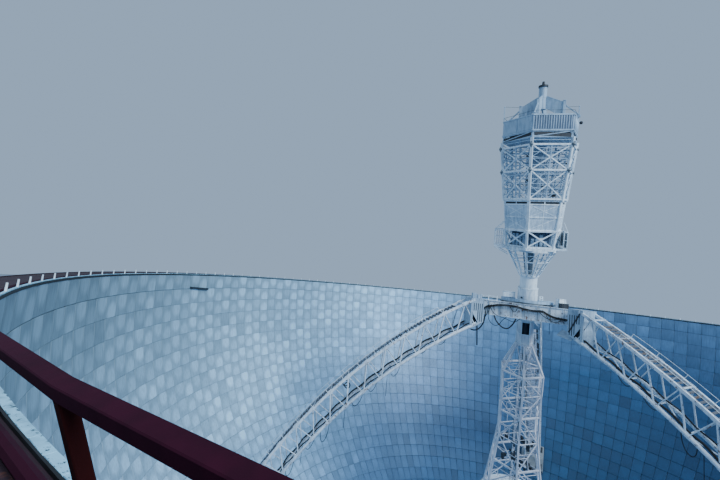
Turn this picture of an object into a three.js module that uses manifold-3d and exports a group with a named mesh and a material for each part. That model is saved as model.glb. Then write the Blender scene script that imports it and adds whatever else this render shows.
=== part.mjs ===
// Fixed-bowl radio telescope at half size: a hemispherical mirror in a ribbed concrete bowl, three arched
// lattice legs that carry a hub at the centre of the sphere, and a steerable tube through the hub, with an
// instrument tower above it and a lattice pendulum with the secondary mirror below it.
// Millimetres, +Z up, origin on the ground under the middle of the bowl, photographer's side towards -Y.
// A bearing is an angle in degrees round the bowl, 0 towards -Y and 90 towards +X.

import * as THREE from "three";
import { mergeVertices } from "three/addons/utils/BufferGeometryUtils.js";
import Module from "manifold-3d";

const wasm = await Module();
wasm.setup();

// Sizes below are in metres of the full-size telescope, and full() turns them into the half-size model's
// millimetres. Heights written as a level are above the rim plane, so most of them are negative in the bowl.
const MODEL_SCALE = 1 / 2;
const full = (metres) => metres * 1000 * MODEL_SCALE;
const RIM_HEIGHT = full(28.2);
const level = (metres) => RIM_HEIGHT + full(metres);
// Pieces that touch stand a gap apart, shapes joined into one piece lap over each other, and a bar that ends
// on another is slimmer than it, so that no two faces lie in one plane.
const GAP = 0.3;
const LAP = 1;
const SLIMMER = 0.9;

const BOWL = {
  mirrorRadius: full(27),
  mirrorDepth: full(0.24),
  concreteThickness: full(0.55),
  sectors: 6,
  firstSectorBearing: 30,
  facets: 48,
  rows: 9,
  outerRows: 5,
  outerTopColatitude: 75,
  beamReach: full(28.6),
  beamDepth: full(1.1),
  topLevel: level(-0.1),
};
const RIB = {
  perSector: 4,
  thickness: full(0.45),
  depth: full(0.6),
  root: full(0.37),
  bottomColatitude: 31,
  topColatitude: 87,
  steps: 5,
  firstTurn: 3.75,
};
const FOOTING = { innerColatitude: 22.5, outerColatitude: 30 };
const KERB = { inner: full(27.02), outer: full(27.095), top: level(0) };
const WALKWAY = { inner: full(27.15), outer: full(28.5), plate: full(0.06) };
const GUARD_RAIL = {
  bays: 6,
  bayAngle: 4.6,
  middleBearing: -7.9,
  railRadius: full(27.4725),
  railTop: level(0.81),
  railSize: full(0.055),
  postFoot: full(27.2),
  postWidth: full(0.06),
  lapAngle: 0.05,
};

const LEG_BEARINGS = { left: -64, right: 56, back: 176 };
const LEG = {
  upperArc: { centre: full(-13.34), centreLevel: level(-32.18), radius: full(36.96), from: 28.0, to: 65.9 },
  lowerArc: { centre: full(-12.63), centreLevel: level(-32.02), radius: full(34.92), from: 28.3, to: 66.2 },
  width: full(1.45),
  chord: full(0.17),
  lowerChord: full(0.21),
  web: full(0.09),
  setOff: 0.1,
  panels: 15,
  rungEvery: 2,
};
const FOOT = { colatitude: 48.1, top: full(26.4), bottom: full(27.36), width: full(2.3), length: full(2.7) };
const FOOT_CLEARANCE = full(0.05);
const SERVICE_GAP = {
  colatitude: 42.4,
  top: full(26.4),
  bottom: full(27.5),
  width: full(5.2),
  length: full(3.6),
};
const SERVICE_GAP_BEARING = -79.5;
const HEAD = {
  inner: full(3.4),
  outer: full(4.3),
  width: full(1.6),
  top: level(0.55),
  innerBottom: level(-1.08),
  outerBottom: level(-1.65),
};

const GIRDER = { inradius: full(1.5), width: full(0.54), top: level(0.5), bottom: level(-0.55) };
const SLEW_RING = {
  inner: full(1.32),
  outer: full(1.74),
  lower: full(0.1),
  upper: full(0.16),
  cap: full(0.08),
  sides: 24,
};
const HANGER = {
  inner: full(0.78),
  outer: full(1.1),
  width: full(0.5),
  bottom: level(-0.3),
  armWidth: full(0.45),
  armDip: full(0.05),
};
const TRUNNION = { radius: full(0.15), clearance: 0.8, reach: full(1.06), sides: 24 };
const CABINET = { from: full(-1.66), to: full(-0.8), depth: full(0.7), top: level(1.27) };
const SMALL_RAIL = { from: full(0.82), to: full(1.04), side: full(0.17), height: full(0.3), bar: full(0.05) };
const COWL = { out: full(1.45), along: full(1.8), size: full(0.56), top: full(0.44), height: full(0.6) };
const DRIVE_BOX = {
  out: full(1.33),
  along: full(2.32),
  width: full(0.5),
  length: full(0.4),
  height: full(0.32),
};

// The turntable is turned from the photographer's side, and the tube leans that way from the zenith.
const YOKE_TURN = 6;
const TUBE_LEAN = 13;
// The tube's lattices are six-sided: the tower is turned against the trunnions and the pendulum is in line.
// Levels on the tube are along its own axis, as if it stood upright.
const TOWER_TURN = -16;
const PENDULUM_TURN = 0;
const LATTICE_SIDES = 6;
const LATTICE_STEP = 360 / LATTICE_SIDES;
const BRACE_INSET = 0.1;
const NECK = { radius: full(0.57), collar: full(0.66), collarTop: level(1.73), top: level(2.6),
  bottom: level(-0.62), sides: 12 };
const LOWER_NECK = { radius: full(0.58), bottom: level(-2.42), doorWidth: full(0.46), doorDepth: full(0.42),
  doorTop: level(-0.76), doorBottom: level(-1.7) };
const CONE = { bottomRadius: full(0.6), topRadius: full(1.62), top: level(4.6), ring: level(3.72), rods: 12,
  rod: full(0.11), hoop: full(0.07), disc: full(0.12) };
const DECK = { radius: full(1.86), bottom: CONE.top + GAP, thickness: full(0.16), left: full(-2.49),
  right: full(2.12), balconyWidth: full(1.45), balconyInset: full(0.02) };
const BAY = {
  bottomRadius: full(1.7),
  topRadius: full(1.86),
  top: level(6),
  bar: full(0.13),
  ring: full(0.1),
  brace: full(0.08),
  braceInset: 0.16,
  coreRadius: full(1.36),
};
const CABIN = { bottomRadius: full(1.88), topRadius: full(2.07), top: level(7.97) };
const FRAME = { bottomRadius: full(2.09), topRadius: full(2.5), top: level(12), rings: [8.1, 9.97, 11.57],
  chord: full(0.17), ring: full(0.12), brace: full(0.08) };
const CORE = { radius: full(0.36), sides: 6 };
const DRUM = { radius: full(2.5), deck: full(0.16), wallBottom: level(12.42), top: level(13.45),
  wall: full(0.09), post: full(0.15), mast: full(0.06), mastTop: level(14.5), mastCorners: [2, 5] };
const VANE = {
  count: 4,
  thickness: full(0.09),
  postRadius: full(1.35),
  postTop: level(14.65),
  plateTop: level(14.55),
  root: level(15.1),
  rootBottom: level(14.3),
  post: full(0.17),
  strutTop: level(14.4),
  strutReach: full(2.3),
  strut: full(0.07),
  beam: full(0.14),
  beamWidth: full(0.11),
};
const CAP = {
  radius: full(0.25),
  bottom: level(14.25),
  top: level(15.83),
  lid: full(0.3),
  lidHeight: full(0.12),
  tip: level(16.1),
  tipRadius: full(0.1),
  sides: 14,
};
const BALCONY_RAIL = { height: full(1.15), bar: full(0.06), innerEnd: full(1.88) };

const PENDULUM = {
  rings: [
    { level: -2.5, radius: 0.56 },
    { level: -4.53, radius: 1.53 },
    { level: -5.98, radius: 1.5 },
    { level: -7.62, radius: 1.5 },
    { level: -9.62, radius: 1.51 },
    { level: -11.58, radius: 1.8 },
    { level: -13.4, radius: 2.1 },
    { level: -15.2, radius: 2.4 },
  ],
  chord: full(0.13),
  ring: full(0.1),
  brace: full(0.07),
  collar: full(0.14),
};
const SECONDARY = {
  radius: full(2.7),
  edge: full(0.18),
  sag: full(0.55),
  steps: 4,
  plate: full(0.16),
  plateRadius: full(2.55),
  plateSides: 12,
  sides: 24,
};
const FEED = {
  topRadius: full(0.32),
  bottomRadius: full(0.5),
  length: full(0.7),
  throat: full(0.3),
  sides: 12,
};
const FRONT_SIDE_BEARING = (LEG_BEARINGS.left + LEG_BEARINGS.right) / 2;
const RIGHT_SIDE_BEARING = (LEG_BEARINGS.right + LEG_BEARINGS.back) / 2;
const CABLE = { radius: full(0.06), sides: 6, steps: 22, standOff: full(0.03) };

const degrees = THREE.MathUtils.degToRad;

function material(colour, roughness, metalness) {
  return new THREE.MeshStandardMaterial({ color: colour, roughness, metalness, flatShading: true });
}
const CONCRETE = [0x8d8b85, 0.9, 0];
const PANEL_ALUMINIUM = [0x9fb6c4, 0.45, 0.7];
const WHITE_PAINT = [0xd9e2e6, 0.55, 0.1];
const GREY_PAINT = [0x8fa3b4, 0.6, 0.2];
const RED_OXIDE = [0x4a1f26, 0.6, 0.2];
const RUSTY_STEEL = [0x5b3a34, 0.8, 0.4];
const DARK_STEEL = [0x2e343a, 0.7, 0.4];
const BLACK_RUBBER = [0x15171a, 0.8, 0];

// A closed three.js geometry as a solid with merged corners, turned right side out.
function solid(geometry) {
  const bare = new THREE.BufferGeometry();
  bare.setAttribute("position", geometry.getAttribute("position"));
  bare.setIndex(geometry.getIndex());
  const merged = mergeVertices(bare, 1e-3);
  const vertProperties = merged.getAttribute("position").array;
  const triVerts = Uint32Array.from(merged.getIndex().array);
  const made = new wasm.Manifold(new wasm.Mesh({ numProp: 3, vertProperties, triVerts }));
  if (made.volume() >= 0) return made;
  for (let i = 0; i < triVerts.length; i += 3) {
    const first = triVerts[i];
    triVerts[i] = triVerts[i + 1];
    triVerts[i + 1] = first;
  }
  return new wasm.Manifold(new wasm.Mesh({ numProp: 3, vertProperties, triVerts }));
}

function joined(geometries) {
  return geometries.map(solid).reduce((whole, piece) => whole.add(piece));
}

function geometryOf(body) {
  const made = body.getMesh();
  const geometry = new THREE.BufferGeometry();
  geometry.setAttribute("position", new THREE.BufferAttribute(made.vertProperties, 3));
  geometry.setIndex(new THREE.BufferAttribute(made.triVerts, 1));
  geometry.computeVertexNormals();
  return geometry;
}

function part(name, shape, finish) {
  const geometry = shape.isBufferGeometry ? shape : geometryOf(shape);
  const mesh = new THREE.Mesh(geometry, material(...finish));
  mesh.name = name;
  return mesh;
}

// A point at a distance from the axis on a bearing.
function onBearing(radius, bearing, height) {
  const angle = degrees(bearing);
  return new THREE.Vector3(radius * Math.sin(angle), -radius * Math.cos(angle), height);
}

// A square bar from one point to another.
function bar(from, to, width, depth = width) {
  const forward = to.clone().sub(from).normalize();
  const upright = Math.abs(forward.z) > 0.999;
  const side = new THREE.Vector3(0, 0, 1).cross(forward).normalize();
  if (upright) side.set(1, 0, 0);
  const up = forward.clone().cross(side);
  const middle = from.clone().add(to).multiplyScalar(0.5);
  const placing = new THREE.Matrix4().makeBasis(side, up, forward).setPosition(middle);
  return new THREE.BoxGeometry(width, depth, from.distanceTo(to)).applyMatrix4(placing);
}

function box(low, high) {
  const size = high.clone().sub(low);
  const middle = low.clone().add(high).multiplyScalar(0.5);
  return new THREE.BoxGeometry(size.x, size.y, size.z).translate(middle.x, middle.y, middle.z);
}

// A prism or a tapered prism about the axis, its first corner on a bearing.
function prism(bottomRadius, topRadius, bottom, top, sides, bearing = 0) {
  const geometry = new THREE.CylinderGeometry(topRadius, bottomRadius, top - bottom, sides);
  return geometry.rotateX(Math.PI / 2).rotateZ(degrees(bearing)).translate(0, 0, (top + bottom) / 2);
}

// A closed outline of [radius, height] points turned about the axis.
function turned(outline, sides) {
  const points = outline.map(([radius, height]) => new THREE.Vector2(radius, height));
  return new THREE.LatheGeometry(points, sides).rotateX(Math.PI / 2);
}

function ringOutline(inner, outer, bottom, top) {
  return [[inner, bottom], [outer, bottom], [outer, top], [inner, top], [inner, bottom]];
}

// Points of a sphere's meridian about the middle of the rim plane, between two angles off straight down.
function meridian(radius, fromAngle, toAngle, steps) {
  return Array.from({ length: steps + 1 }, (_, i) => {
    const angle = degrees(fromAngle + ((toAngle - fromAngle) * i) / steps);
    return [radius * Math.sin(angle), RIM_HEIGHT - radius * Math.cos(angle)];
  });
}

// The slice of the plan that one sector takes, half a gap short of its neighbours on both sides.
function sectorWedge(index) {
  const half = 180 / BOWL.sectors;
  const middle = BOWL.firstSectorBearing + (2 * index + 1) * half;
  const reach = 2 * BOWL.beamReach;
  const apex = onBearing(GAP / 2 / Math.sin(degrees(half)), middle, 0);
  const corners = [-half, 0, half].map((turn) => onBearing(reach, middle + turn, 0).add(apex));
  const outline = new THREE.Shape([apex, ...corners].map((p) => new THREE.Vector2(p.x, p.y)));
  const wedge = new THREE.ExtrudeGeometry(outline, { depth: 2 * RIM_HEIGHT, bevelEnabled: false });
  return solid(wedge.translate(0, 0, -GAP));
}

const shellInner = BOWL.mirrorRadius + BOWL.mirrorDepth;
const shellOuter = shellInner + BOWL.concreteThickness;

// The concrete shell with the ring beam that stands out under the walkway.
function concreteShell() {
  const inside = meridian(shellInner + GAP, 0, 90, BOWL.rows);
  inside[inside.length - 1][1] = BOWL.topLevel - GAP;
  const beam = [
    [BOWL.beamReach, BOWL.topLevel - GAP],
    [BOWL.beamReach, BOWL.topLevel - BOWL.beamDepth],
  ];
  const neck = [shellOuter, BOWL.topLevel - BOWL.beamDepth];
  const outside = meridian(shellOuter, 0, BOWL.outerTopColatitude, BOWL.outerRows).reverse();
  return solid(turned([...inside, ...beam, neck, ...outside], BOWL.facets));
}

// A buttress rib that follows the outside of the shell from the footing up to the ring beam.
function rib(bearing) {
  const outer = meridian(shellOuter + RIB.depth, RIB.bottomColatitude, RIB.topColatitude, RIB.steps);
  const inner = meridian(shellOuter - RIB.root, RIB.bottomColatitude, RIB.topColatitude, RIB.steps).reverse();
  const outline = new THREE.Shape([...outer, ...inner].map(([x, y]) => new THREE.Vector2(x, y)));
  const fin = new THREE.ExtrudeGeometry(outline, { depth: RIB.thickness, bevelEnabled: false });
  fin.translate(0, 0, -RIB.thickness / 2).rotateX(Math.PI / 2);
  return solid(fin.rotateZ(degrees(bearing - 90)));
}

// A block that stands square to the bowl, grown on all faces.
function bowlBlock(size, bearing, grow) {
  const depth = size.bottom - size.top + 2 * grow;
  const block = new THREE.BoxGeometry(size.length + 2 * grow, size.width + 2 * grow, depth);
  block.rotateY(degrees(-size.colatitude));
  const middle = onBearing((size.top + size.bottom) / 2, 90, 0).applyAxisAngle(
    new THREE.Vector3(0, 1, 0),
    degrees(90 - size.colatitude),
  );
  return block.translate(middle.x, 0, RIM_HEIGHT + middle.z).rotateZ(degrees(bearing - 90));
}

const legBearings = Object.values(LEG_BEARINGS);

function bowlParts() {
  const shell = concreteShell();
  const mirrorOutline = [
    ...meridian(BOWL.mirrorRadius, 0, 90, BOWL.rows),
    ...meridian(shellInner, 0, 90, BOWL.rows).reverse(),
  ];
  const flatTop = solid(prism(BOWL.beamReach, BOWL.beamReach, 0, BOWL.topLevel - GAP, BOWL.facets));
  const mirror = solid(turned(mirrorOutline, BOWL.facets)).intersect(flatTop);
  const openings = legBearings.map((bearing) => solid(bowlBlock(FOOT, bearing, FOOT_CLEARANCE)));
  openings.push(solid(bowlBlock(SERVICE_GAP, SERVICE_GAP_BEARING, 0)));
  const feetRoom = legBearings.map((bearing) => solid(bowlBlock(FOOT, bearing, GAP)));
  const step = 360 / BOWL.sectors / RIB.perSector;
  const parts = [];
  for (let i = 0; i < BOWL.sectors; i += 1) {
    const wedge = sectorWedge(i);
    const first = BOWL.firstSectorBearing + (i * 360) / BOWL.sectors + RIB.firstTurn;
    let sector = shell.intersect(wedge);
    for (let k = 0; k < RIB.perSector; k += 1) sector = sector.add(rib(first + k * step));
    for (const room of feetRoom) sector = sector.subtract(room);
    let skin = mirror.intersect(wedge);
    for (const opening of openings) skin = skin.subtract(opening);
    parts.push(part(`bowl_sector_${i + 1}`, sector, CONCRETE));
    parts.push(part(`mirror_sector_${i + 1}`, skin, PANEL_ALUMINIUM));
  }
  return parts;
}

// The ring wall under the bowl, in as many pieces as the bowl.
function footingParts() {
  const [lowest, highest] = meridian(shellOuter, FOOTING.innerColatitude, FOOTING.outerColatitude, 1);
  const ball = meridian(shellOuter + GAP, 0, BOWL.outerTopColatitude, BOWL.outerRows);
  ball.push([0, ball.at(-1)[1]]);
  const wall = turned(ringOutline(lowest[0], highest[0], 0, highest[1]), BOWL.facets);
  const ring = solid(wall).subtract(solid(turned(ball, BOWL.facets)));
  const pieces = Array.from({ length: BOWL.sectors }, (_, i) => ring.intersect(sectorWedge(i)));
  return pieces.map((piece, i) => part(`footing_${i + 1}`, piece, CONCRETE));
}

function rimParts() {
  const kerb = turned(ringOutline(KERB.inner, KERB.outer, BOWL.topLevel, KERB.top), BOWL.facets);
  const deckTop = BOWL.topLevel + WALKWAY.plate;
  const deck = turned(ringOutline(WALKWAY.inner, WALKWAY.outer, BOWL.topLevel, deckTop), BOWL.facets);
  return [part("rim_kerb", kerb, WHITE_PAINT), part("rim_walkway", deck, RUSTY_STEEL)];
}

// The oxide-red rail on leaning posts where visitors stand.
function guardRail() {
  const rise = GUARD_RAIL.railTop - GUARD_RAIL.railSize / 2;
  const first = GUARD_RAIL.middleBearing - (GUARD_RAIL.bays * GUARD_RAIL.bayAngle) / 2;
  const bearings = Array.from({ length: GUARD_RAIL.bays + 1 }, (_, i) => first + i * GUARD_RAIL.bayAngle);
  const foot = BOWL.topLevel + WALKWAY.plate + GAP;
  const pieces = bearings.map((bearing) =>
    bar(
      onBearing(GUARD_RAIL.postFoot, bearing, foot),
      onBearing(GUARD_RAIL.railRadius, bearing, rise),
      GUARD_RAIL.postWidth,
    ),
  );
  for (let i = 0; i < GUARD_RAIL.bays; i += 1) {
    const start = onBearing(GUARD_RAIL.railRadius, bearings[i] - GUARD_RAIL.lapAngle, rise);
    const end = onBearing(GUARD_RAIL.railRadius, bearings[i + 1] + GUARD_RAIL.lapAngle, rise);
    pieces.push(bar(start, end, GUARD_RAIL.railSize));
  }
  const floor = solid(prism(BOWL.beamReach, BOWL.beamReach, 0, foot, BOWL.facets));
  return part("guard_rail", joined(pieces).subtract(floor), RED_OXIDE);
}

// An arc in a leg's own upright plane, x outwards from the hub and y across the leg.
class LegArc extends THREE.Curve {
  constructor(arc, offset) {
    super();
    this.arc = arc;
    this.offset = offset;
  }
  getPoint(t, target = new THREE.Vector3()) {
    const angle = degrees(THREE.MathUtils.lerp(this.arc.from, this.arc.to, t));
    const x = this.arc.centre + this.arc.radius * Math.sin(angle);
    return target.set(x, this.offset, this.arc.centreLevel + this.arc.radius * Math.cos(angle));
  }
}

function squareOutline(size) {
  const half = size / 2;
  return new THREE.Shape([
    new THREE.Vector2(-half, -half),
    new THREE.Vector2(half, -half),
    new THREE.Vector2(half, half),
    new THREE.Vector2(-half, half),
  ]);
}

// A square bar swept along a curve.
function sweptBar(size, extrudePath, steps) {
  return new THREE.ExtrudeGeometry(squareOutline(size), { steps, extrudePath, bevelEnabled: false });
}

// Four arched chords, a zigzag web on both sides, and rungs across the top and the bottom.
function legTruss() {
  const half = LEG.width / 2;
  const sides = [-half, half].map((offset) => ({
    upper: new LegArc(LEG.upperArc, offset),
    lower: new LegArc(LEG.lowerArc, offset),
  }));
  const steps = LEG.panels;
  const pieces = sides.flatMap(({ upper, lower }) => [
    sweptBar(LEG.chord, upper, steps),
    sweptBar(LEG.lowerChord, lower, steps),
  ]);
  for (const { upper, lower } of sides) {
    for (let i = 0; i < LEG.panels; i += 1) {
      const place = (curve, share) => curve.getPoint((i + share) / LEG.panels);
      pieces.push(brace(place(lower, LEG.setOff), place(upper, 0.5 - LEG.setOff / 2), LEG.web));
      pieces.push(brace(place(upper, 0.5 + LEG.setOff / 2), place(lower, 1 - LEG.setOff), LEG.web));
    }
  }
  for (let i = 1; i < LEG.panels; i += LEG.rungEvery) {
    pieces.push(brace(...sides.map(({ upper }) => upper.getPoint((i + 0.5) / LEG.panels)), LEG.web));
    pieces.push(brace(...sides.map(({ lower }) => lower.getPoint(i / LEG.panels)), LEG.web));
  }
  return joined(pieces);
}

function placedOnBearing(body, bearing) {
  return solid(geometryOf(body).rotateZ(degrees(bearing - 90)));
}

// The head at a leg's top, deeper where the leg joins it, grown on all faces.
function headSolid(bearing, grow) {
  const [inner, outer] = [HEAD.inner - grow, HEAD.outer + grow];
  const outline = new THREE.Shape([
    new THREE.Vector2(inner, HEAD.innerBottom - 2 * grow),
    new THREE.Vector2(outer, HEAD.outerBottom - 2 * grow),
    new THREE.Vector2(outer, HEAD.top + grow),
    new THREE.Vector2(inner, HEAD.top + grow),
  ]);
  const depth = HEAD.width + 2 * grow;
  const head = new THREE.ExtrudeGeometry(outline, { depth, bevelEnabled: false }).translate(0, 0, -depth / 2);
  return solid(head.rotateX(Math.PI / 2).rotateZ(degrees(bearing - 90)));
}

function legParts() {
  const truss = legTruss();
  const headRoom = solid(
    box(
      new THREE.Vector3(0, -HEAD.width, HEAD.outerBottom - HEAD.width),
      new THREE.Vector3(HEAD.outer + GAP, HEAD.width, HEAD.top + HEAD.width),
    ),
  );
  const trimmed = truss.subtract(headRoom);
  const girder = girderSolid(GAP);
  return Object.entries(LEG_BEARINGS).flatMap(([side, bearing]) => [
    part(
      `leg_${side}`,
      placedOnBearing(trimmed, bearing).subtract(solid(bowlBlock(FOOT, bearing, GAP))),
      WHITE_PAINT,
    ),
    part(`leg_head_${side}`, headSolid(bearing, 0).subtract(girder), WHITE_PAINT),
    part(`leg_foot_${side}`, bowlBlock(FOOT, bearing, 0), CONCRETE),
  ]);
}

// The triangular box girder between the three leg heads, grown on all faces by a gap.
function girderSolid(grow) {
  const corner = (inradius, bearing) => {
    const point = onBearing(2 * inradius, bearing, 0);
    return new THREE.Vector2(point.x, point.y);
  };
  const half = GIRDER.width / 2 + grow;
  const outline = new THREE.Shape(legBearings.map((b) => corner(GIRDER.inradius + half, b)));
  const hole = legBearings.map((b) => corner(GIRDER.inradius - half, b)).reverse();
  outline.holes.push(new THREE.Path(hole));
  const depth = GIRDER.top - GIRDER.bottom + 2 * grow;
  const body = new THREE.ExtrudeGeometry(outline, { depth, bevelEnabled: false });
  return solid(body.translate(0, 0, GIRDER.bottom - grow));
}

function hubParts() {
  const seat = GIRDER.top + GAP;
  const raceTop = seat + SLEW_RING.lower;
  const race = turned(ringOutline(SLEW_RING.inner, SLEW_RING.outer, seat, raceTop), SLEW_RING.sides);
  const cowl = new THREE.CylinderGeometry(COWL.top / Math.SQRT2, COWL.size / Math.SQRT2, COWL.height, 4);
  cowl.rotateY(Math.PI / 4).rotateX(Math.PI / 2);
  cowl.translate(COWL.out, -COWL.along, seat + COWL.height / 2).rotateZ(degrees(RIGHT_SIDE_BEARING - 90));
  const driveBox = new THREE.BoxGeometry(DRIVE_BOX.width, DRIVE_BOX.length, DRIVE_BOX.height);
  driveBox.translate(DRIVE_BOX.out, -DRIVE_BOX.along, seat + DRIVE_BOX.height / 2);
  driveBox.rotateZ(degrees(RIGHT_SIDE_BEARING - 90));
  return [
    part("hub_girder", girderSolid(0), WHITE_PAINT),
    part("slewing_race", race, DARK_STEEL),
    girderCable(),
    part("vent_cowl", cowl, WHITE_PAINT),
    part("junction_box", driveBox, DARK_STEEL),
  ];
}

// The thick cable that is looped along the near side of the girder.
function girderCable() {
  const stations = [-3.1, -2.72, -2.5, -2.15, -1.5, -0.6, 0.1, 0.6, 1.1, 1.55, 1.95, 2.5, 3.1];
  const heights = [-0.42, -0.25, 0.0, 0.13, 0.26, 0.28, 0.16, 0.13, 0.16, -0.05, -0.16, -0.2, -0.24];
  const face = GIRDER.inradius + GIRDER.width / 2 + CABLE.radius + CABLE.standOff;
  const points = stations.map((along, i) => new THREE.Vector3(full(along), -face, level(heights[i])));
  const section = new THREE.Shape(
    Array.from({ length: CABLE.sides }, (_, i) => {
      const angle = (2 * Math.PI * i) / CABLE.sides;
      return new THREE.Vector2(CABLE.radius * Math.cos(angle), CABLE.radius * Math.sin(angle));
    }),
  );
  const extrudePath = new THREE.CatmullRomCurve3(points);
  const run = new THREE.ExtrudeGeometry(section, { steps: CABLE.steps, extrudePath, bevelEnabled: false });
  const cable = solid(run.rotateZ(degrees(FRONT_SIDE_BEARING)));
  const heads = [LEG_BEARINGS.left, LEG_BEARINGS.right].map((bearing) => headSolid(bearing, GAP));
  return part("girder_cable", heads.reduce((rest, head) => rest.subtract(head), cable), BLACK_RUBBER);
}

// The ring that turns on the girder, with the two hangers that hold the tube's trunnions.
function turntableParts() {
  const bottom = GIRDER.top + 2 * GAP + SLEW_RING.lower;
  const top = bottom + SLEW_RING.upper;
  const ring = solid(turned(ringOutline(SLEW_RING.inner, SLEW_RING.outer, bottom, top), SLEW_RING.sides));
  const capTop = top + SLEW_RING.cap;
  const hanger = joined([
    box(
      new THREE.Vector3(HANGER.inner, -HANGER.width / 2, HANGER.bottom),
      new THREE.Vector3(HANGER.outer, HANGER.width / 2, capTop),
    ),
    box(
      new THREE.Vector3(HANGER.inner, -HANGER.armWidth / 2, top - HANGER.armDip),
      new THREE.Vector3(SLEW_RING.outer, HANGER.armWidth / 2, capTop),
    ),
  ]);
  const otherHanger = solid(geometryOf(hanger).rotateZ(Math.PI));
  const bore = new THREE.CylinderGeometry(
    TRUNNION.radius + TRUNNION.clearance,
    TRUNNION.radius + TRUNNION.clearance,
    4 * HANGER.outer,
    TRUNNION.sides,
  );
  const boreSolid = solid(bore.rotateZ(Math.PI / 2).translate(0, 0, RIM_HEIGHT));
  const yoke = ring.add(hanger).add(otherHanger).subtract(boreSolid);
  const cabinet = box(
    new THREE.Vector3(CABINET.from, -CABINET.depth / 2, capTop + GAP),
    new THREE.Vector3(CABINET.to, CABINET.depth / 2, CABINET.top),
  );
  return [
    part("turntable", yoke, GREY_PAINT),
    part("drive_cabinet", cabinet, WHITE_PAINT),
    part("turntable_rail", turntableRail(capTop + GAP), WHITE_PAINT),
  ];
}

function turntableRail(bottom) {
  const { from, to, side, height, bar: size } = SMALL_RAIL;
  const at = (x, y, rise) => new THREE.Vector3(x, y, bottom + rise);
  const pieces = [];
  for (const y of [-side, side]) {
    for (const x of [from, to]) pieces.push(bar(at(x, y, 0), at(x, y, height), size));
    pieces.push(bar(at(from, y, height), at(to, y, height), size * SLIMMER));
  }
  pieces.push(bar(at(to, -side, height), at(to, side, height), size * SLIMMER ** 2));
  return joined(pieces);
}

// A slender three-sided bar from one point to another.
function brace(from, to, size) {
  const radius = size / Math.sqrt(3);
  const outline = new THREE.CylinderGeometry(radius, radius, from.distanceTo(to), 3);
  const forward = to.clone().sub(from).normalize();
  const turn = new THREE.Quaternion().setFromUnitVectors(new THREE.Vector3(0, 1, 0), forward);
  const middle = from.clone().add(to).multiplyScalar(0.5);
  return outline.applyQuaternion(turn).translate(middle.x, middle.y, middle.z);
}

// A diagonal across a panel, its ends set off from the corners by a share of the chords' length.
function diagonal(lowStart, highStart, lowEnd, highEnd, size, share) {
  return brace(lowStart.clone().lerp(highStart, share), highEnd.clone().lerp(lowEnd, share), size);
}

// A level hexagonal ring of square bars round the tube's axis.
function hexRing(radius, height, size, turn) {
  const half = size / 2;
  const outline = ringOutline(radius - half, radius + half, height - half, height + half);
  return turned(outline, LATTICE_SIDES).rotateZ(degrees(turn));
}

// A bent chord on a bearing, through [radius, height] points in its own upright plane.
function bentChord(points, size, bearing) {
  const half = size / 2;
  const outer = points.map(([radius, height]) => new THREE.Vector2(radius + half, height));
  const inner = points.map(([radius, height]) => new THREE.Vector2(radius - half, height)).reverse();
  const outline = new THREE.Shape([...outer, ...inner]);
  const chord = new THREE.ExtrudeGeometry(outline, { depth: size, bevelEnabled: false });
  return chord.translate(0, 0, -half).rotateX(Math.PI / 2).rotateZ(degrees(bearing - 90));
}

// A six-sided prism in line with a lattice.
function hexPrism(bottomRadius, topRadius, bottom, top, turn) {
  return prism(bottomRadius, topRadius, bottom, top, LATTICE_SIDES, turn);
}

function towerPrism(bottomRadius, topRadius, bottom, top) {
  return hexPrism(bottomRadius, topRadius, bottom, top, TOWER_TURN);
}

function chordBearings(turn) {
  return Array.from({ length: LATTICE_SIDES }, (_, i) => turn + LATTICE_STEP * i);
}

// Corners of a lattice at one height.
function latticeCorners(radius, height, turn) {
  return chordBearings(turn).map((bearing) => onBearing(radius, bearing, height));
}

// One diagonal in each panel between every two rings of corners, leaning the other way in the next panel.
function zigzag(rings, size) {
  const braces = [];
  for (let k = 0; k + 1 < rings.length; k += 1) {
    const [from, to] = [rings[k], rings[k + 1]];
    for (let i = 0; i < LATTICE_SIDES; i += 1) {
      const next = (i + 1) % LATTICE_SIDES;
      const [start, end] = (i + k) % 2 ? [i, next] : [next, i];
      braces.push(diagonal(from[start], to[start], from[end], to[end], size, BRACE_INSET));
    }
  }
  return braces;
}

function neckParts() {
  const shaft = prism(NECK.radius, NECK.radius, NECK.bottom + LAP, NECK.top, NECK.sides, TOWER_TURN);
  const collar = prism(NECK.collar, NECK.collar, NECK.bottom, NECK.collarTop, NECK.sides, TOWER_TURN);
  const { radius, reach, sides } = TRUNNION;
  const pins = new THREE.CylinderGeometry(radius, radius, 2 * reach, sides);
  pins.rotateZ(Math.PI / 2).translate(0, 0, RIM_HEIGHT);
  const lowerTop = NECK.bottom - GAP;
  const flatTurn = PENDULUM_TURN + LATTICE_STEP / 2;
  const lower = hexPrism(LOWER_NECK.radius, LOWER_NECK.radius, LOWER_NECK.bottom, lowerTop, flatTurn);
  const door = box(
    new THREE.Vector3(-LOWER_NECK.doorWidth / 2, -2 * LOWER_NECK.radius, LOWER_NECK.doorBottom),
    new THREE.Vector3(LOWER_NECK.doorWidth / 2, LOWER_NECK.doorDepth - LOWER_NECK.radius, LOWER_NECK.doorTop),
  );
  door.rotateZ(degrees(PENDULUM_TURN));
  return [
    part("tube_neck", joined([shaft, collar, pins]), WHITE_PAINT),
    part("access_neck", solid(lower).subtract(solid(door)), WHITE_PAINT),
  ];
}

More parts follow.
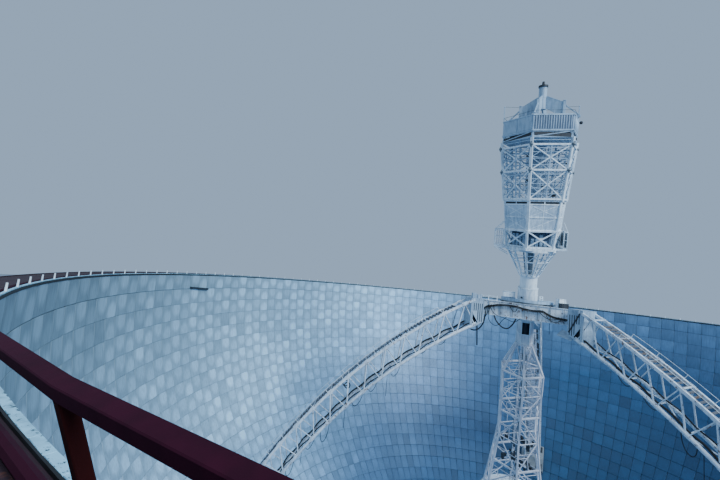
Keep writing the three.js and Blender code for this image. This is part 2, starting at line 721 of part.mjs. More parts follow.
// The funnel of rods that widens from the neck to the instrument tower.
function coneFrame() {
  const bottom = NECK.top + GAP;
  const share = (CONE.ring - bottom) / (CONE.top - bottom);
  const ringRadius = THREE.MathUtils.lerp(CONE.bottomRadius, CONE.topRadius, share);
  const bearings = Array.from({ length: CONE.rods }, (_, i) => TOWER_TURN + (360 * i) / CONE.rods);
  const at = (radius, height) => bearings.map((bearing) => onBearing(radius, bearing, height));
  const low = at(CONE.bottomRadius, bottom + CONE.disc / 2);
  const high = at(CONE.topRadius, CONE.top - CONE.disc / 2);
  const [lowDisc, highDisc] = [CONE.bottomRadius + CONE.rod / 2, CONE.topRadius + CONE.rod / 2];
  const half = CONE.hoop / 2;
  const hoop = [
    [ringRadius, CONE.ring - half],
    [ringRadius + half, CONE.ring + half],
    [ringRadius - half, CONE.ring + half],
    [ringRadius, CONE.ring - half],
  ];
  const pieces = [
    prism(lowDisc, lowDisc, bottom, bottom + CONE.disc, CONE.rods),
    prism(highDisc, highDisc, CONE.top - CONE.disc, CONE.top, CONE.rods),
    ...low.map((point, i) => brace(point, high[i], CONE.rod)),
    turned(hoop, CONE.rods).rotateZ(degrees(TOWER_TURN)),
  ];
  return part("cone_frame", joined(pieces), WHITE_PAINT);
}

function deckTop() {
  return DECK.bottom + DECK.thickness;
}

function deckParts() {
  const plate = towerPrism(DECK.radius, DECK.radius, DECK.bottom, deckTop());
  const wings = box(
    new THREE.Vector3(DECK.left, -DECK.balconyWidth / 2, DECK.bottom + DECK.balconyInset),
    new THREE.Vector3(DECK.right, DECK.balconyWidth / 2, deckTop() - DECK.balconyInset),
  );
  const rails = [["left", DECK.left, 1], ["right", DECK.right, -1]].map(([side, edge, inward]) =>
    part(`balcony_rail_${side}`, balconyRail(edge, inward), WHITE_PAINT),
  );
  return [part("tower_deck", joined([plate, wings]), WHITE_PAINT), ...rails];
}

// Three sides of railing round a balcony, the fourth side being the tower.
function balconyRail(edge, inward) {
  const size = BALCONY_RAIL.bar;
  const outer = edge + (inward * size) / 2;
  const inner = -inward * BALCONY_RAIL.innerEnd;
  const side = DECK.balconyWidth / 2 - size / 2;
  const bottom = deckTop() - DECK.balconyInset + GAP;
  const point = (x, y, height) => new THREE.Vector3(x, y, bottom + height);
  const pieces = [];
  for (const [x, y] of [[outer, -side], [outer, 0], [outer, side], [inner, -side], [inner, side]]) {
    pieces.push(bar(point(x, y, 0), point(x, y, BALCONY_RAIL.height), size));
  }
  for (const height of [BALCONY_RAIL.height / 2, BALCONY_RAIL.height - size / 2]) {
    pieces.push(bar(point(outer, -side, height), point(outer, side, height), size * SLIMMER));
    pieces.push(bar(point(outer, -side, height), point(inner, -side, height), size * SLIMMER));
    pieces.push(bar(point(outer, side, height), point(inner, side, height), size * SLIMMER));
  }
  return joined(pieces);
}

// The cross-braced bay over the deck, with a closed core inside it, and the panelled cabin on top.
function cabinParts() {
  const bottom = deckTop() + GAP;
  const [lowRing, highRing] = [bottom + BAY.bar / 2, BAY.top - BAY.bar / 2];
  const low = latticeCorners(BAY.bottomRadius, lowRing, TOWER_TURN);
  const high = latticeCorners(BAY.topRadius, highRing, TOWER_TURN);
  const next = (i) => (i + 1) % LATTICE_SIDES;
  const profile = [[BAY.bottomRadius, bottom], [BAY.topRadius, BAY.top]];
  const bracing = chordBearings(TOWER_TURN).map((bearing) => bentChord(profile, BAY.bar, bearing));
  low.forEach((point, i) => {
    const [lowNext, highNext] = [low[next(i)], high[next(i)]];
    bracing.push(diagonal(point, high[i], lowNext, highNext, BAY.brace, BAY.braceInset));
    bracing.push(diagonal(lowNext, highNext, point, high[i], BAY.brace, BAY.braceInset));
  });
  bracing.push(hexRing(BAY.bottomRadius, lowRing + LAP, BAY.ring, TOWER_TURN));
  bracing.push(hexRing(BAY.topRadius, highRing - LAP, BAY.ring, TOWER_TURN));
  const room = BAY.bottomRadius + 2 * BAY.bar;
  const clear = solid(towerPrism(room, room, bottom, BAY.top));
  const core = towerPrism(BAY.coreRadius, BAY.coreRadius, bottom, BAY.top);
  const cabin = towerPrism(CABIN.bottomRadius, CABIN.topRadius, BAY.top + GAP, CABIN.top);
  return [
    part("bay_frame", joined(bracing).intersect(clear), WHITE_PAINT),
    part("bay_core", core, GREY_PAINT),
    part("cabin", cabin, WHITE_PAINT),
  ];
}

// The tall open lattice over the cabin, round a closed core column.
function towerParts() {
  const bottom = CABIN.top + GAP;
  const radiusAt = (height) =>
    THREE.MathUtils.mapLinear(height, bottom, FRAME.top, FRAME.bottomRadius, FRAME.topRadius);
  const levels = FRAME.rings.map(level);
  const profile = [[FRAME.bottomRadius, bottom], [FRAME.topRadius, FRAME.top]];
  const rings = levels.map((height) => latticeCorners(radiusAt(height), height, TOWER_TURN));
  const pieces = [
    ...chordBearings(TOWER_TURN).map((bearing) => bentChord(profile, FRAME.chord, bearing)),
    ...levels.map((height) => hexRing(radiusAt(height), height, FRAME.ring, TOWER_TURN)),
    ...zigzag(rings, FRAME.brace),
  ];
  const room = solid(towerPrism(2 * FRAME.topRadius, 2 * FRAME.topRadius, bottom, FRAME.top));
  const frame = joined(pieces).intersect(room);
  const core = prism(CORE.radius, CORE.radius, bottom, FRAME.top, CORE.sides, TOWER_TURN);
  return [part("tower_frame", frame, WHITE_PAINT), part("tower_core", core, GREY_PAINT)];
}

// The hexagonal drum: a deck, six corner posts and a plated wall round the top.
function topDrum() {
  const bottom = FRAME.top + GAP;
  const deckRise = bottom + DRUM.deck;
  const wallOuter = solid(towerPrism(DRUM.radius, DRUM.radius, DRUM.wallBottom, DRUM.top));
  const inner = DRUM.radius - DRUM.wall;
  const wallInner = solid(towerPrism(inner, inner, DRUM.wallBottom - LAP, DRUM.top + LAP));
  const deck = solid(towerPrism(DRUM.radius, DRUM.radius, bottom, deckRise));
  const posts = latticeCorners(DRUM.radius - DRUM.post, bottom + LAP, TOWER_TURN).map((point) =>
    bar(point, point.clone().setZ(DRUM.top - LAP), DRUM.post),
  );
  const masts = DRUM.mastCorners.map((corner) => {
    const foot = latticeCorners(DRUM.radius - DRUM.wall / 2, DRUM.top - LAP, TOWER_TURN)[corner];
    return bar(foot, foot.clone().setZ(DRUM.mastTop), DRUM.mast);
  });
  const walls = wallOuter.subtract(wallInner);
  return part("top_drum", joined([...posts, ...masts]).add(walls).add(deck), GREY_PAINT);
}

// Four deep plates that rise from stub posts to the cap, on beams that cross the drum.
function vaneSpider() {
  const seat = DRUM.top + GAP;
  const inner = CAP.radius / 2;
  const pieces = [];
  for (let i = 0; i < VANE.count; i += 1) {
    const bearing = TOWER_TURN + (360 * i) / VANE.count;
    const outline = new THREE.Shape([
      new THREE.Vector2(inner, VANE.rootBottom),
      new THREE.Vector2(VANE.postRadius, seat + VANE.beam),
      new THREE.Vector2(VANE.postRadius, VANE.plateTop),
      new THREE.Vector2(inner, VANE.root),
    ]);
    const plate = new THREE.ExtrudeGeometry(outline, { depth: VANE.thickness, bevelEnabled: false });
    plate.translate(0, 0, -VANE.thickness / 2).rotateX(Math.PI / 2).rotateZ(degrees(bearing - 90));
    const at = (radius, height) => onBearing(radius, bearing, height);
    const beamMiddle = seat + VANE.beam / 2;
    pieces.push(
      plate,
      bar(at(VANE.postRadius, seat + LAP), at(VANE.postRadius, VANE.postTop), VANE.post),
      bar(at(0, beamMiddle), at(VANE.strutReach, beamMiddle), VANE.beamWidth, VANE.beam),
      bar(at(VANE.postRadius, VANE.strutTop), at(VANE.strutReach, seat + VANE.beam), VANE.strut),
    );
  }
  const capRoom = solid(prism(CAP.radius + GAP, CAP.radius + GAP, CAP.bottom - GAP, CAP.top, CAP.sides));
  return part("vane_spider", joined(pieces).subtract(capRoom), GREY_PAINT);
}

function capPart() {
  const tube = prism(CAP.radius, CAP.radius, CAP.bottom, CAP.top, CAP.sides);
  const lid = prism(CAP.lid, CAP.lid, CAP.top - LAP, CAP.top + CAP.lidHeight, CAP.sides);
  const tip = prism(CAP.tipRadius, CAP.tipRadius, CAP.top, CAP.tip, CORE.sides);
  return part("cap_cylinder", joined([tube, lid, tip]), GREY_PAINT);
}

// The six-sided lattice that hangs from the hub.
function pendulumFrame() {
  const turn = PENDULUM_TURN;
  const rings = PENDULUM.rings.map((ring) => latticeCorners(full(ring.radius), level(ring.level), turn));
  const profile = PENDULUM.rings.map((ring) => [full(ring.radius), level(ring.level)]);
  const top = LOWER_NECK.bottom - GAP;
  const pieces = [
    ...profile.slice(1).map(([radius, height]) => hexRing(radius, height, PENDULUM.ring, turn)),
    ...chordBearings(turn).map((bearing) => bentChord(profile, PENDULUM.chord, bearing)),
    ...zigzag(rings, PENDULUM.brace),
    hexPrism(LOWER_NECK.radius, LOWER_NECK.radius, top - PENDULUM.collar, top, turn),
  ];
  const room = solid(hexPrism(2 * SECONDARY.radius, 2 * SECONDARY.radius, pendulumBottom(), top, turn));
  return part("pendulum_frame", joined(pieces).intersect(room), WHITE_PAINT);
}

function pendulumBottom() {
  return level(PENDULUM.rings.at(-1).level) - PENDULUM.ring / 2;
}

// The secondary mirror under the pendulum, its back plate and the feed in its middle.
function secondaryParts() {
  const plateTop = pendulumBottom() - GAP;
  const plateBottom = plateTop - SECONDARY.plate;
  const { plateRadius, plateSides } = SECONDARY;
  const plate = prism(plateRadius, plateRadius, plateBottom, plateTop, plateSides, PENDULUM_TURN);
  const mirrorTop = plateBottom - GAP;
  const edgeBottom = mirrorTop - SECONDARY.edge;
  const dome = [[0, mirrorTop], [SECONDARY.radius, mirrorTop], [SECONDARY.radius, edgeBottom]];
  for (let i = 1; i <= SECONDARY.steps; i += 1) {
    const rest = 1 - i / SECONDARY.steps;
    dome.push([SECONDARY.radius * rest, edgeBottom - SECONDARY.sag * (1 - rest ** 2)]);
  }
  const seat = edgeBottom - SECONDARY.sag / 2;
  const hole = FEED.topRadius + GAP;
  const room = solid(prism(hole, hole, seat - SECONDARY.radius, seat, FEED.sides));
  const throatBottom = seat - GAP - FEED.throat;
  const feed = prism(FEED.bottomRadius, FEED.topRadius, seat - GAP - FEED.length, throatBottom, FEED.sides);
  const throat = prism(FEED.topRadius, FEED.topRadius, throatBottom - LAP, seat - GAP, FEED.sides);
  return [
    part("secondary_plate", plate, WHITE_PAINT),
    part("secondary_mirror", solid(turned(dome, SECONDARY.sides)).subtract(room), PANEL_ALUMINIUM),
    part("feed_horn", joined([feed, throat]), WHITE_PAINT),
  ];
}

const root = new THREE.Group();
root.add(...bowlParts(), ...footingParts(), ...rimParts(), guardRail(), ...legParts(), ...hubParts());
const turntable = new THREE.Group();
turntable.rotation.z = degrees(YOKE_TURN);
turntable.add(...turntableParts());
const tube = new THREE.Group();
tube.position.z = -RIM_HEIGHT;
tube.add(...neckParts(), coneFrame(), ...deckParts(), ...cabinParts(), ...towerParts());
tube.add(topDrum(), vaneSpider(), capPart(), pendulumFrame(), ...secondaryParts());
const trunnions = new THREE.Group();
trunnions.position.z = RIM_HEIGHT;
trunnions.rotation.x = degrees(TUBE_LEAN);
trunnions.add(tube);
turntable.add(trunnions);
root.add(turntable);

export default root;
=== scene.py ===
"""Dressed model of a fixed-bowl radio telescope at half size.

Pieces are drawn at the real telescope's size, in metres about the middle of the bowl's rim plane, with +Z up
and the photographer's side towards -Y. Piece.finish brings them to the model, which is half that size and
stands on the ground. The yoke's pieces are drawn as if it faced the photographer and the tube's as if it were
upright, and they are turned and leaned there too. A bearing is an angle in degrees, 0 towards -Y and 90
towards +X.
"""

import logging
import math
from collections.abc import Callable, Iterable, Sequence
from dataclasses import dataclass, field
from enum import Enum
from functools import partial
from random import Random

import bpy
from bpy.types import Material, Mesh, NodeSocket, NodeTree, Object
from mathutils import Matrix, Vector

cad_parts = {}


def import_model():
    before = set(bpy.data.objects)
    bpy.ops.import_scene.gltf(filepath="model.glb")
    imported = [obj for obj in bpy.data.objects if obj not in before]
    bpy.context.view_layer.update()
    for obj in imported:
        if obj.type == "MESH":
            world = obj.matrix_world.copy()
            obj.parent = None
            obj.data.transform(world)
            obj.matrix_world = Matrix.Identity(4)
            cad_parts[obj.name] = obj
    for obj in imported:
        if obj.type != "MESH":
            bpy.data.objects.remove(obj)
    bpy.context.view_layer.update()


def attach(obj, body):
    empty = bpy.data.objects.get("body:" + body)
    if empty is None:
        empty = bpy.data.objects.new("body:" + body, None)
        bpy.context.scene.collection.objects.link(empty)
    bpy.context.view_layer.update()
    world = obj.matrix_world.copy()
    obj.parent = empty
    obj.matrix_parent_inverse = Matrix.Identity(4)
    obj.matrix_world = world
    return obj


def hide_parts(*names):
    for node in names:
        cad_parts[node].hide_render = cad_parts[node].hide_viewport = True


LOG = logging.getLogger("telescope")

MODEL_SCALE = 0.5
RIM_HEIGHT = 14.1
GROUND = -RIM_HEIGHT / MODEL_SCALE
LEG_BEARINGS = {"left": -64.0, "right": 56.0, "back": 176.0}
GIRDER_BEARINGS = {"front": -4.0, "right": 116.0, "rear": 236.0}
YOKE_TURN = 6.0
TUBE_LEAN = 13.0
TOWER_TURN = -16.0
PENDULUM_TURN = 0.0
SECTORS = 6
FIRST_SECTOR_BEARING = 30.0
UP = Vector((0.0, 0.0, 1.0))
HEX_INRADIUS = math.cos(math.radians(30.0))
FINE_BEVEL = 0.004

Points = Sequence[Sequence[float]]
Pairs = tuple[tuple[float, float], ...]
Surface = dict[str | int, object]
NodeMaker = Callable[..., NodeSocket]


def turn(degrees: float, axis: str = "Z") -> Matrix:
    """Turn about an axis."""
    return Matrix.Rotation(math.radians(degrees), 4, axis)


def shift(x: float, y: float, z: float) -> Matrix:
    """Move to a point."""
    return Matrix.Translation((x, y, z))


UPRIGHT = turn(90.0, "X")


def body_frame(body: str) -> Matrix:
    """Placing that brings what is drawn for a body to the model.

    Args:
        body: The body's name.

    Returns:
        The placing.
    """
    frame = shift(0.0, 0.0, RIM_HEIGHT) @ Matrix.Scale(MODEL_SCALE, 4)
    if body != "structure":
        frame = frame @ turn(YOKE_TURN)
    return frame @ turn(TUBE_LEAN, "X") if body == "tube" else frame


def on_bearing(radius: float, bearing: float, height: float) -> Vector:
    """Point at a distance from the upright axis, on a bearing and at a height above the rim plane."""
    angle = math.radians(bearing)
    return Vector((radius * math.sin(angle), -radius * math.cos(angle), height))


def on_sphere(radius: float, bearing: float, depression: float) -> Vector:
    """Point on a sphere about the middle of the rim plane, some degrees below that plane."""
    angle = math.radians(depression)
    return on_bearing(radius * math.cos(angle), bearing, -radius * math.sin(angle))


def facing_in(radius: float, bearing: float, depression: float) -> Matrix:
    """Placing square to a sphere: local X along the bearing, Y outwards and Z up the slope."""
    place = Matrix.Translation(on_sphere(radius, bearing, depression))
    return place @ turn(bearing + 180.0) @ turn(-depression, "X")


def square_to(bearing: float, inradius: float, height: float) -> Matrix:
    """Placing on the middle of a prism's face at a bearing: local X along the face, Y inwards, Z up."""
    return turn(bearing) @ shift(0.0, -inradius, height)


def along_bearing(bearing: float) -> Matrix:
    """Turn that brings what is drawn along +X onto a bearing."""
    return turn(bearing - 90.0)


def past_front(bearing: float) -> float:
    """The same bearing, between -180 and 180 degrees."""
    return (bearing + 180.0) % 360.0 - 180.0


def steps_between(start: float, end: float, count: int) -> list[float]:
    """Even values from start to end, both included."""
    return [start + (end - start) * i / count for i in range(count + 1)]


def hexagon(radius: float, height: float, turned: float = TOWER_TURN) -> list[Vector]:
    """Corners of a six-sided plan at one height."""
    return [on_bearing(radius, turned + 60.0 * i, height) for i in range(6)]


def tower_side(number: int) -> float:
    """Bearing of the middle of one of the tower's six sides."""
    return TOWER_TURN + 60.0 * number + 30.0


def sides_of(corners: Sequence[Vector]) -> Iterable[tuple[Vector, Vector]]:
    """Pairs of neighbouring corners, once round."""
    return zip(corners, [*corners[1:], corners[0]])


def circle(count: int, radius: float) -> list[tuple[float, float]]:
    """Points spaced evenly round a circle."""
    angles = [2 * math.pi * i / count for i in range(count)]
    return [(radius * math.cos(a), radius * math.sin(a)) for a in angles]


def chamfered(half: float, cut: float) -> list[tuple[float, float]]:
    """Corners of a square of a half width, cut off at a distance from its middle lines."""
    corner = [(half, -cut), (half, cut), (cut, half), (-cut, half)]
    return corner + [(-x, -y) for x, y in corner]


class Stock(Enum):
    """Sections that the lattices are made of."""

    BOX = "box section"
    ROUND = "round tube"


class Workshop:
    """Makes the meshes that pieces are put together from, each kind once."""

    MERGE = 1e-4
    BOX_BEVEL = 0.08
    ROUND_SIDES = 10

    def __init__(self) -> None:
        """Start with an empty shelf."""
        self._shelf: dict[object, Mesh] = {}

    @staticmethod
    def _deselect() -> None:
        """Let go of all objects, because an operator acts on all that is selected."""
        bpy.ops.object.select_all(action="DESELECT")

    def laid_out(self, name: str, data: bpy.types.ID) -> Object:
        """Make an object of a mesh or curve and leave it as the only one selected.

        Args:
            name: The object's name.
            data: Its mesh or curve.

        Returns:
            The object.
        """
        piece = bpy.data.objects.new(name, data)
        bpy.context.collection.objects.link(piece)
        self._deselect()
        bpy.context.view_layer.objects.active = piece
        piece.select_set(True)
        return piece

    @staticmethod
    def _taken(piece: Object) -> Mesh:
        """Keep an object's mesh and clear the object away."""
        mesh = piece.data
        bpy.data.objects.remove(piece)
        return mesh

    def _opened(self, points: Points, faces: Sequence[Sequence[int]]) -> Object:
        """Put an outline into edit mode with all of it selected.

        Args:
            points: Corners as (x, y, z).
            faces: Faces over the corners; none gives a closed loop of edges.

        Returns:
            The object, in edit mode.
        """
        mesh = bpy.data.meshes.new("outline")
        count = len(points)
        mesh.from_pydata(points, [] if faces else [(i, (i + 1) % count) for i in range(count)], faces)
        piece = self.laid_out("outline", mesh)
        bpy.ops.object.mode_set(mode="EDIT")
        bpy.ops.mesh.select_all(action="SELECT")
        return piece

    def _closed(self, piece: Object) -> Mesh:
        """Leave edit mode with doubled corners merged and the faces turned outwards.

        Args:
            piece: The object in edit mode.

        Returns:
            The finished mesh.
        """
        bpy.ops.mesh.select_all(action="SELECT")
        bpy.ops.mesh.remove_doubles(threshold=self.MERGE)
        bpy.ops.mesh.normals_make_consistent(inside=False)
        bpy.ops.object.mode_set(mode="OBJECT")
        return self._taken(piece)

    def extrusion(self, outline: Points, depth: float) -> Mesh:
        """Draw a flat outline out along +Z, from half the depth below the plane to half above it.

        Args:
            outline: Corners as (x, y).
            depth: Length of the extrusion.

        Returns:
            A closed mesh.
        """
        points = [(x, y, -depth / 2) for x, y in outline]
        piece = self._opened(points, [list(range(len(points)))])
        bpy.ops.mesh.extrude_region_move(TRANSFORM_OT_translate={"value": (0.0, 0.0, depth)})
        return self._closed(piece)

    def lathe(self, outline: Points, steps: int, start: float = 0.0, sweep: float = 360.0) -> Mesh:
        """Spin a closed outline about the upright axis.

        Args:
            outline: Corners as (radius, height).
            steps: Facets round the sweep.
            start: Bearing of the first outline.
            sweep: Degrees to spin through; 360 closes on itself.

        Returns:
            A closed mesh.
        """
        points = [on_bearing(radius, start, height)[:] for radius, height in outline]
        piece = self._opened(points, [] if sweep >= 360.0 else [list(range(len(points)))])
        bpy.ops.mesh.spin(steps=steps, angle=-math.radians(sweep), center=(0, 0, 0), axis=(0, 0, 1))
        return self._closed(piece)

    def slab(self, size: Sequence[float], bevel: float) -> Mesh:
        """Make a block with bevelled edges about the origin.

        Args:
            size: Lengths along X, Y and Z.
            bevel: Width of the bevel.

        Returns:
            A closed mesh, shared by all slabs of one size.
        """
        key = ("slab", *(round(value, 4) for value in size), round(bevel, 5))
        if key not in self._shelf:
            self._deselect()
            bpy.ops.mesh.primitive_cube_add(size=1.0)
            block = bpy.context.object
            block.scale = size
            bpy.ops.object.transform_apply(scale=True)
            bpy.ops.object.mode_set(mode="EDIT")
            bpy.ops.mesh.select_all(action="SELECT")
            bpy.ops.mesh.bevel(offset=bevel, segments=1, affect="EDGES")
            bpy.ops.object.mode_set(mode="OBJECT")
            self._shelf[key] = self._taken(block)
        return self._shelf[key]

    def drum(self, sides: int, top_share: float = 1.0) -> Mesh:
        """Make an upright drum of unit radius and height, with its top wider or narrower.

        Args:
            sides: Facets round it.
            top_share: Radius of the top as a share of the bottom's.

        Returns:
            A closed mesh about the origin.
        """
        key = ("drum", sides, round(top_share, 4))
        if key not in self._shelf:
            self._deselect()
            bpy.ops.mesh.primitive_cone_add(vertices=sides, radius1=1.0, radius2=top_share, depth=1.0)
            self._shelf[key] = self._taken(bpy.context.object)
        return self._shelf[key]

    def ball(self) -> Mesh:
        """Make a ball of unit radius."""
        if "ball" not in self._shelf:
            self._deselect()
            bpy.ops.mesh.primitive_uv_sphere_add(segments=12, ring_count=8, radius=1.0)
            self._shelf["ball"] = self._taken(bpy.context.object)
        return self._shelf["ball"]

    def stock(self, section: Stock) -> Mesh:
        """Cut a metre of a section that is one metre wide, to be scaled to its size.

        Args:
            section: The kind of section.

        Returns:
            A closed mesh about the origin, its length along Z.
        """
        if section not in self._shelf:
            box = section is Stock.BOX
            outline = chamfered(0.5, 0.5 - self.BOX_BEVEL) if box else circle(self.ROUND_SIDES, 0.5)
            self._shelf[section] = self.extrusion(outline, 1.0)
        return self._shelf[section]

    def tube(self, points: Iterable[Vector], radius: float, loop: bool = False) -> Mesh:
        """Run a smooth round cable through points.

        Args:
            points: Places that the cable passes.
            radius: Radius of the cable.
            loop: Whether the cable closes on itself.

        Returns:
            A closed mesh in place.
        """
        curve = bpy.data.curves.new("cable", "CURVE")
        curve.dimensions = "3D"
        curve.bevel_depth = radius
        curve.bevel_resolution = 1
        curve.use_fill_caps = True
        spline = curve.splines.new("BEZIER")
        places = list(points)
        spline.bezier_points.add(len(places) - 1)
        for knot, place in zip(spline.bezier_points, places):
            knot.co = place
            knot.handle_left_type = knot.handle_right_type = "AUTO"
        spline.resolution_u = 4
        spline.use_cyclic_u = loop
        self.laid_out("cable", curve)
        bpy.ops.object.convert(target="MESH")
        bpy.ops.object.mode_set(mode="EDIT")
        return self._closed(bpy.context.object)


WORKSHOP = Workshop()
RGB = {"data_type": "RGBA", "out": 2}


def linear(colour: str) -> tuple[float, float, float, float]:
    """Linear RGBA of an sRGB hex colour.

    Args:
        colour: Six hex digits after a hash sign.

    Returns:
        Red, green, blue and alpha.
    """
    channels = [int(colour[i : i + 2], 16) / 255.0 for i in (1, 3, 5)]
    red, green, blue = (c / 12.92 if c <= 0.04045 else ((c + 0.055) / 1.055) ** 2.4 for c in channels)
    return (red, green, blue, 1.0)


def add_node(
    tree: NodeTree, kind: str, inputs: Surface | None = None, out: int | str = 0, **settings: object
) -> NodeSocket | None:
    """Add a node with its settings and links.

    Args:
        tree: The material's node tree.
        kind: Blender's name for the node, without its first word.
        inputs: Sockets by name or number, each with a value or another node's output.
        out: The output that is wanted.
        **settings: Properties to set.

    Returns:
        That output, if the node has any.
    """
    node = tree.nodes.new("ShaderNode" + kind)
    for key, value in settings.items():
        setattr(node, key, value)
    for key, value in (inputs or {}).items():
        if isinstance(value, NodeSocket):
            tree.links.new(value, node.inputs[key])
        else:
            node.inputs[key].default_value = value
    return node.outputs[out] if node.outputs else None


def drawn_down(node: NodeMaker, place: NodeSocket, width: float, stretch: float) -> NodeSocket:
    """Coordinates drawn out downwards, for runs of a width that change little along their length."""
    return node("Mapping", {"Vector": place, "Scale": (1 / width, 1 / width, stretch / width)})


@dataclass(frozen=True)
class Finish:
    """A surface as it was made and as it has weathered.

    Attributes:
        name: What the finish is called.
        slot: The record's material slot; not used by this script.
    """

    name: str
    slot: str

    def material(self) -> Material:
        """Material of this finish, made once.

        Returns:
            The material.
        """
        known = bpy.data.materials.get(self.name)
        if known:
            return known
        made = bpy.data.materials.new(self.name)
        made.use_nodes = True
        made.node_tree.nodes.clear()
        node = partial(add_node, made.node_tree)
        shader = node("BsdfPrincipled", self.surface(node, node("TexCoord", out="Object")))
        node("OutputMaterial", {"Surface": shader})
        return made

    def surface(self, node: NodeMaker, place: NodeSocket) -> Surface:
        """Work the shader's sockets out.

        Args:
            node: Adds a node to the material.
            place: Coordinates on the object in metres.

        Returns:
            What goes into each socket of the shader.
        """
        raise NotImplementedError


@dataclass(frozen=True)
class Paint(Finish):
    """Brushed alkyd paint on steel: a chalky satin coat, clouded with dirt, with runs of grime and rust.

    Attributes:
        coat: Colour of the paint before dirt and rust.
        dirt: Colour of the grime.
        rust: Colour where the paint has gone.
        dirt_share: How strong the clouds of grime are.
        rust_level: Noise level over which rust breaks through; 1 is never.
        roughness: Roughness of the paint.
        patch: Size of a rust patch in metres.
        tinted: Share of each copied piece's own tint in the coat.
        gloss: Specular level of the coat.
    """

    coat: str
    dirt: str
    rust: str = "#6B4030"
    dirt_share: float = 0.5
    rust_level: float = 0.66
    roughness: float = 0.55
    patch: float = 0.16
    tinted: float = 0.0
    gloss: float = 0.5

    CLOUD = 0.9
    RUN_WIDTH = 0.07
    RUN_STRETCH = 0.14
    RUST_EDGE = 0.06
    BARE_ROUGHNESS = 0.9

    def surface(self, node: NodeMaker, place: NodeSocket) -> Surface:
        """Work the shader's sockets out, as Finish.surface says."""
        clouds = node("TexNoise", {"Vector": place, "Scale": 1 / self.CLOUD, "Detail": 5.0})
        drawn = drawn_down(node, place, self.RUN_WIDTH, self.RUN_STRETCH)
        runs = node("TexNoise", {"Vector": drawn, "Scale": 1.0, "Detail": 2.0})
        grime = node("Math", {0: clouds, 1: runs}, operation="MULTIPLY")
        spread = {"From Min": 0.2, "From Max": 0.36, "To Max": self.dirt_share}
        share = node("MapRange", {"Value": grime, **spread})
        coat, dirt = linear(self.coat), linear(self.dirt)
        if self.tinted:
            tint = node("Attribute", out="Fac", attribute_name="tint")
            shade = node("Math", {0: tint, 1: self.tinted}, operation="MULTIPLY")
            coat = node("Mix", {0: shade, 6: coat, 7: dirt}, **RGB)
        dirty = node("Mix", {0: share, 6: coat, 7: dirt}, **RGB)
        spots = node("TexNoise", {"Vector": place, "Scale": 1 / self.patch, "Detail": 9.0, "Roughness": 0.68})
        edge = {"From Min": self.rust_level, "From Max": self.rust_level + self.RUST_EDGE}
        rusted = node("MapRange", {"Value": spots, **edge})
        worn = {"Value": rusted, "To Min": self.roughness, "To Max": self.BARE_ROUGHNESS}
        return {
            "Base Color": node("Mix", {0: rusted, 6: dirty, 7: linear(self.rust)}, **RGB),
            "Roughness": node("MapRange", worn),
            "Normal": node("Bump", {"Strength": 0.35, "Distance": 0.004, "Height": spots}),
            "IOR": 1.5,
            "Specular IOR Level": self.gloss,
        }


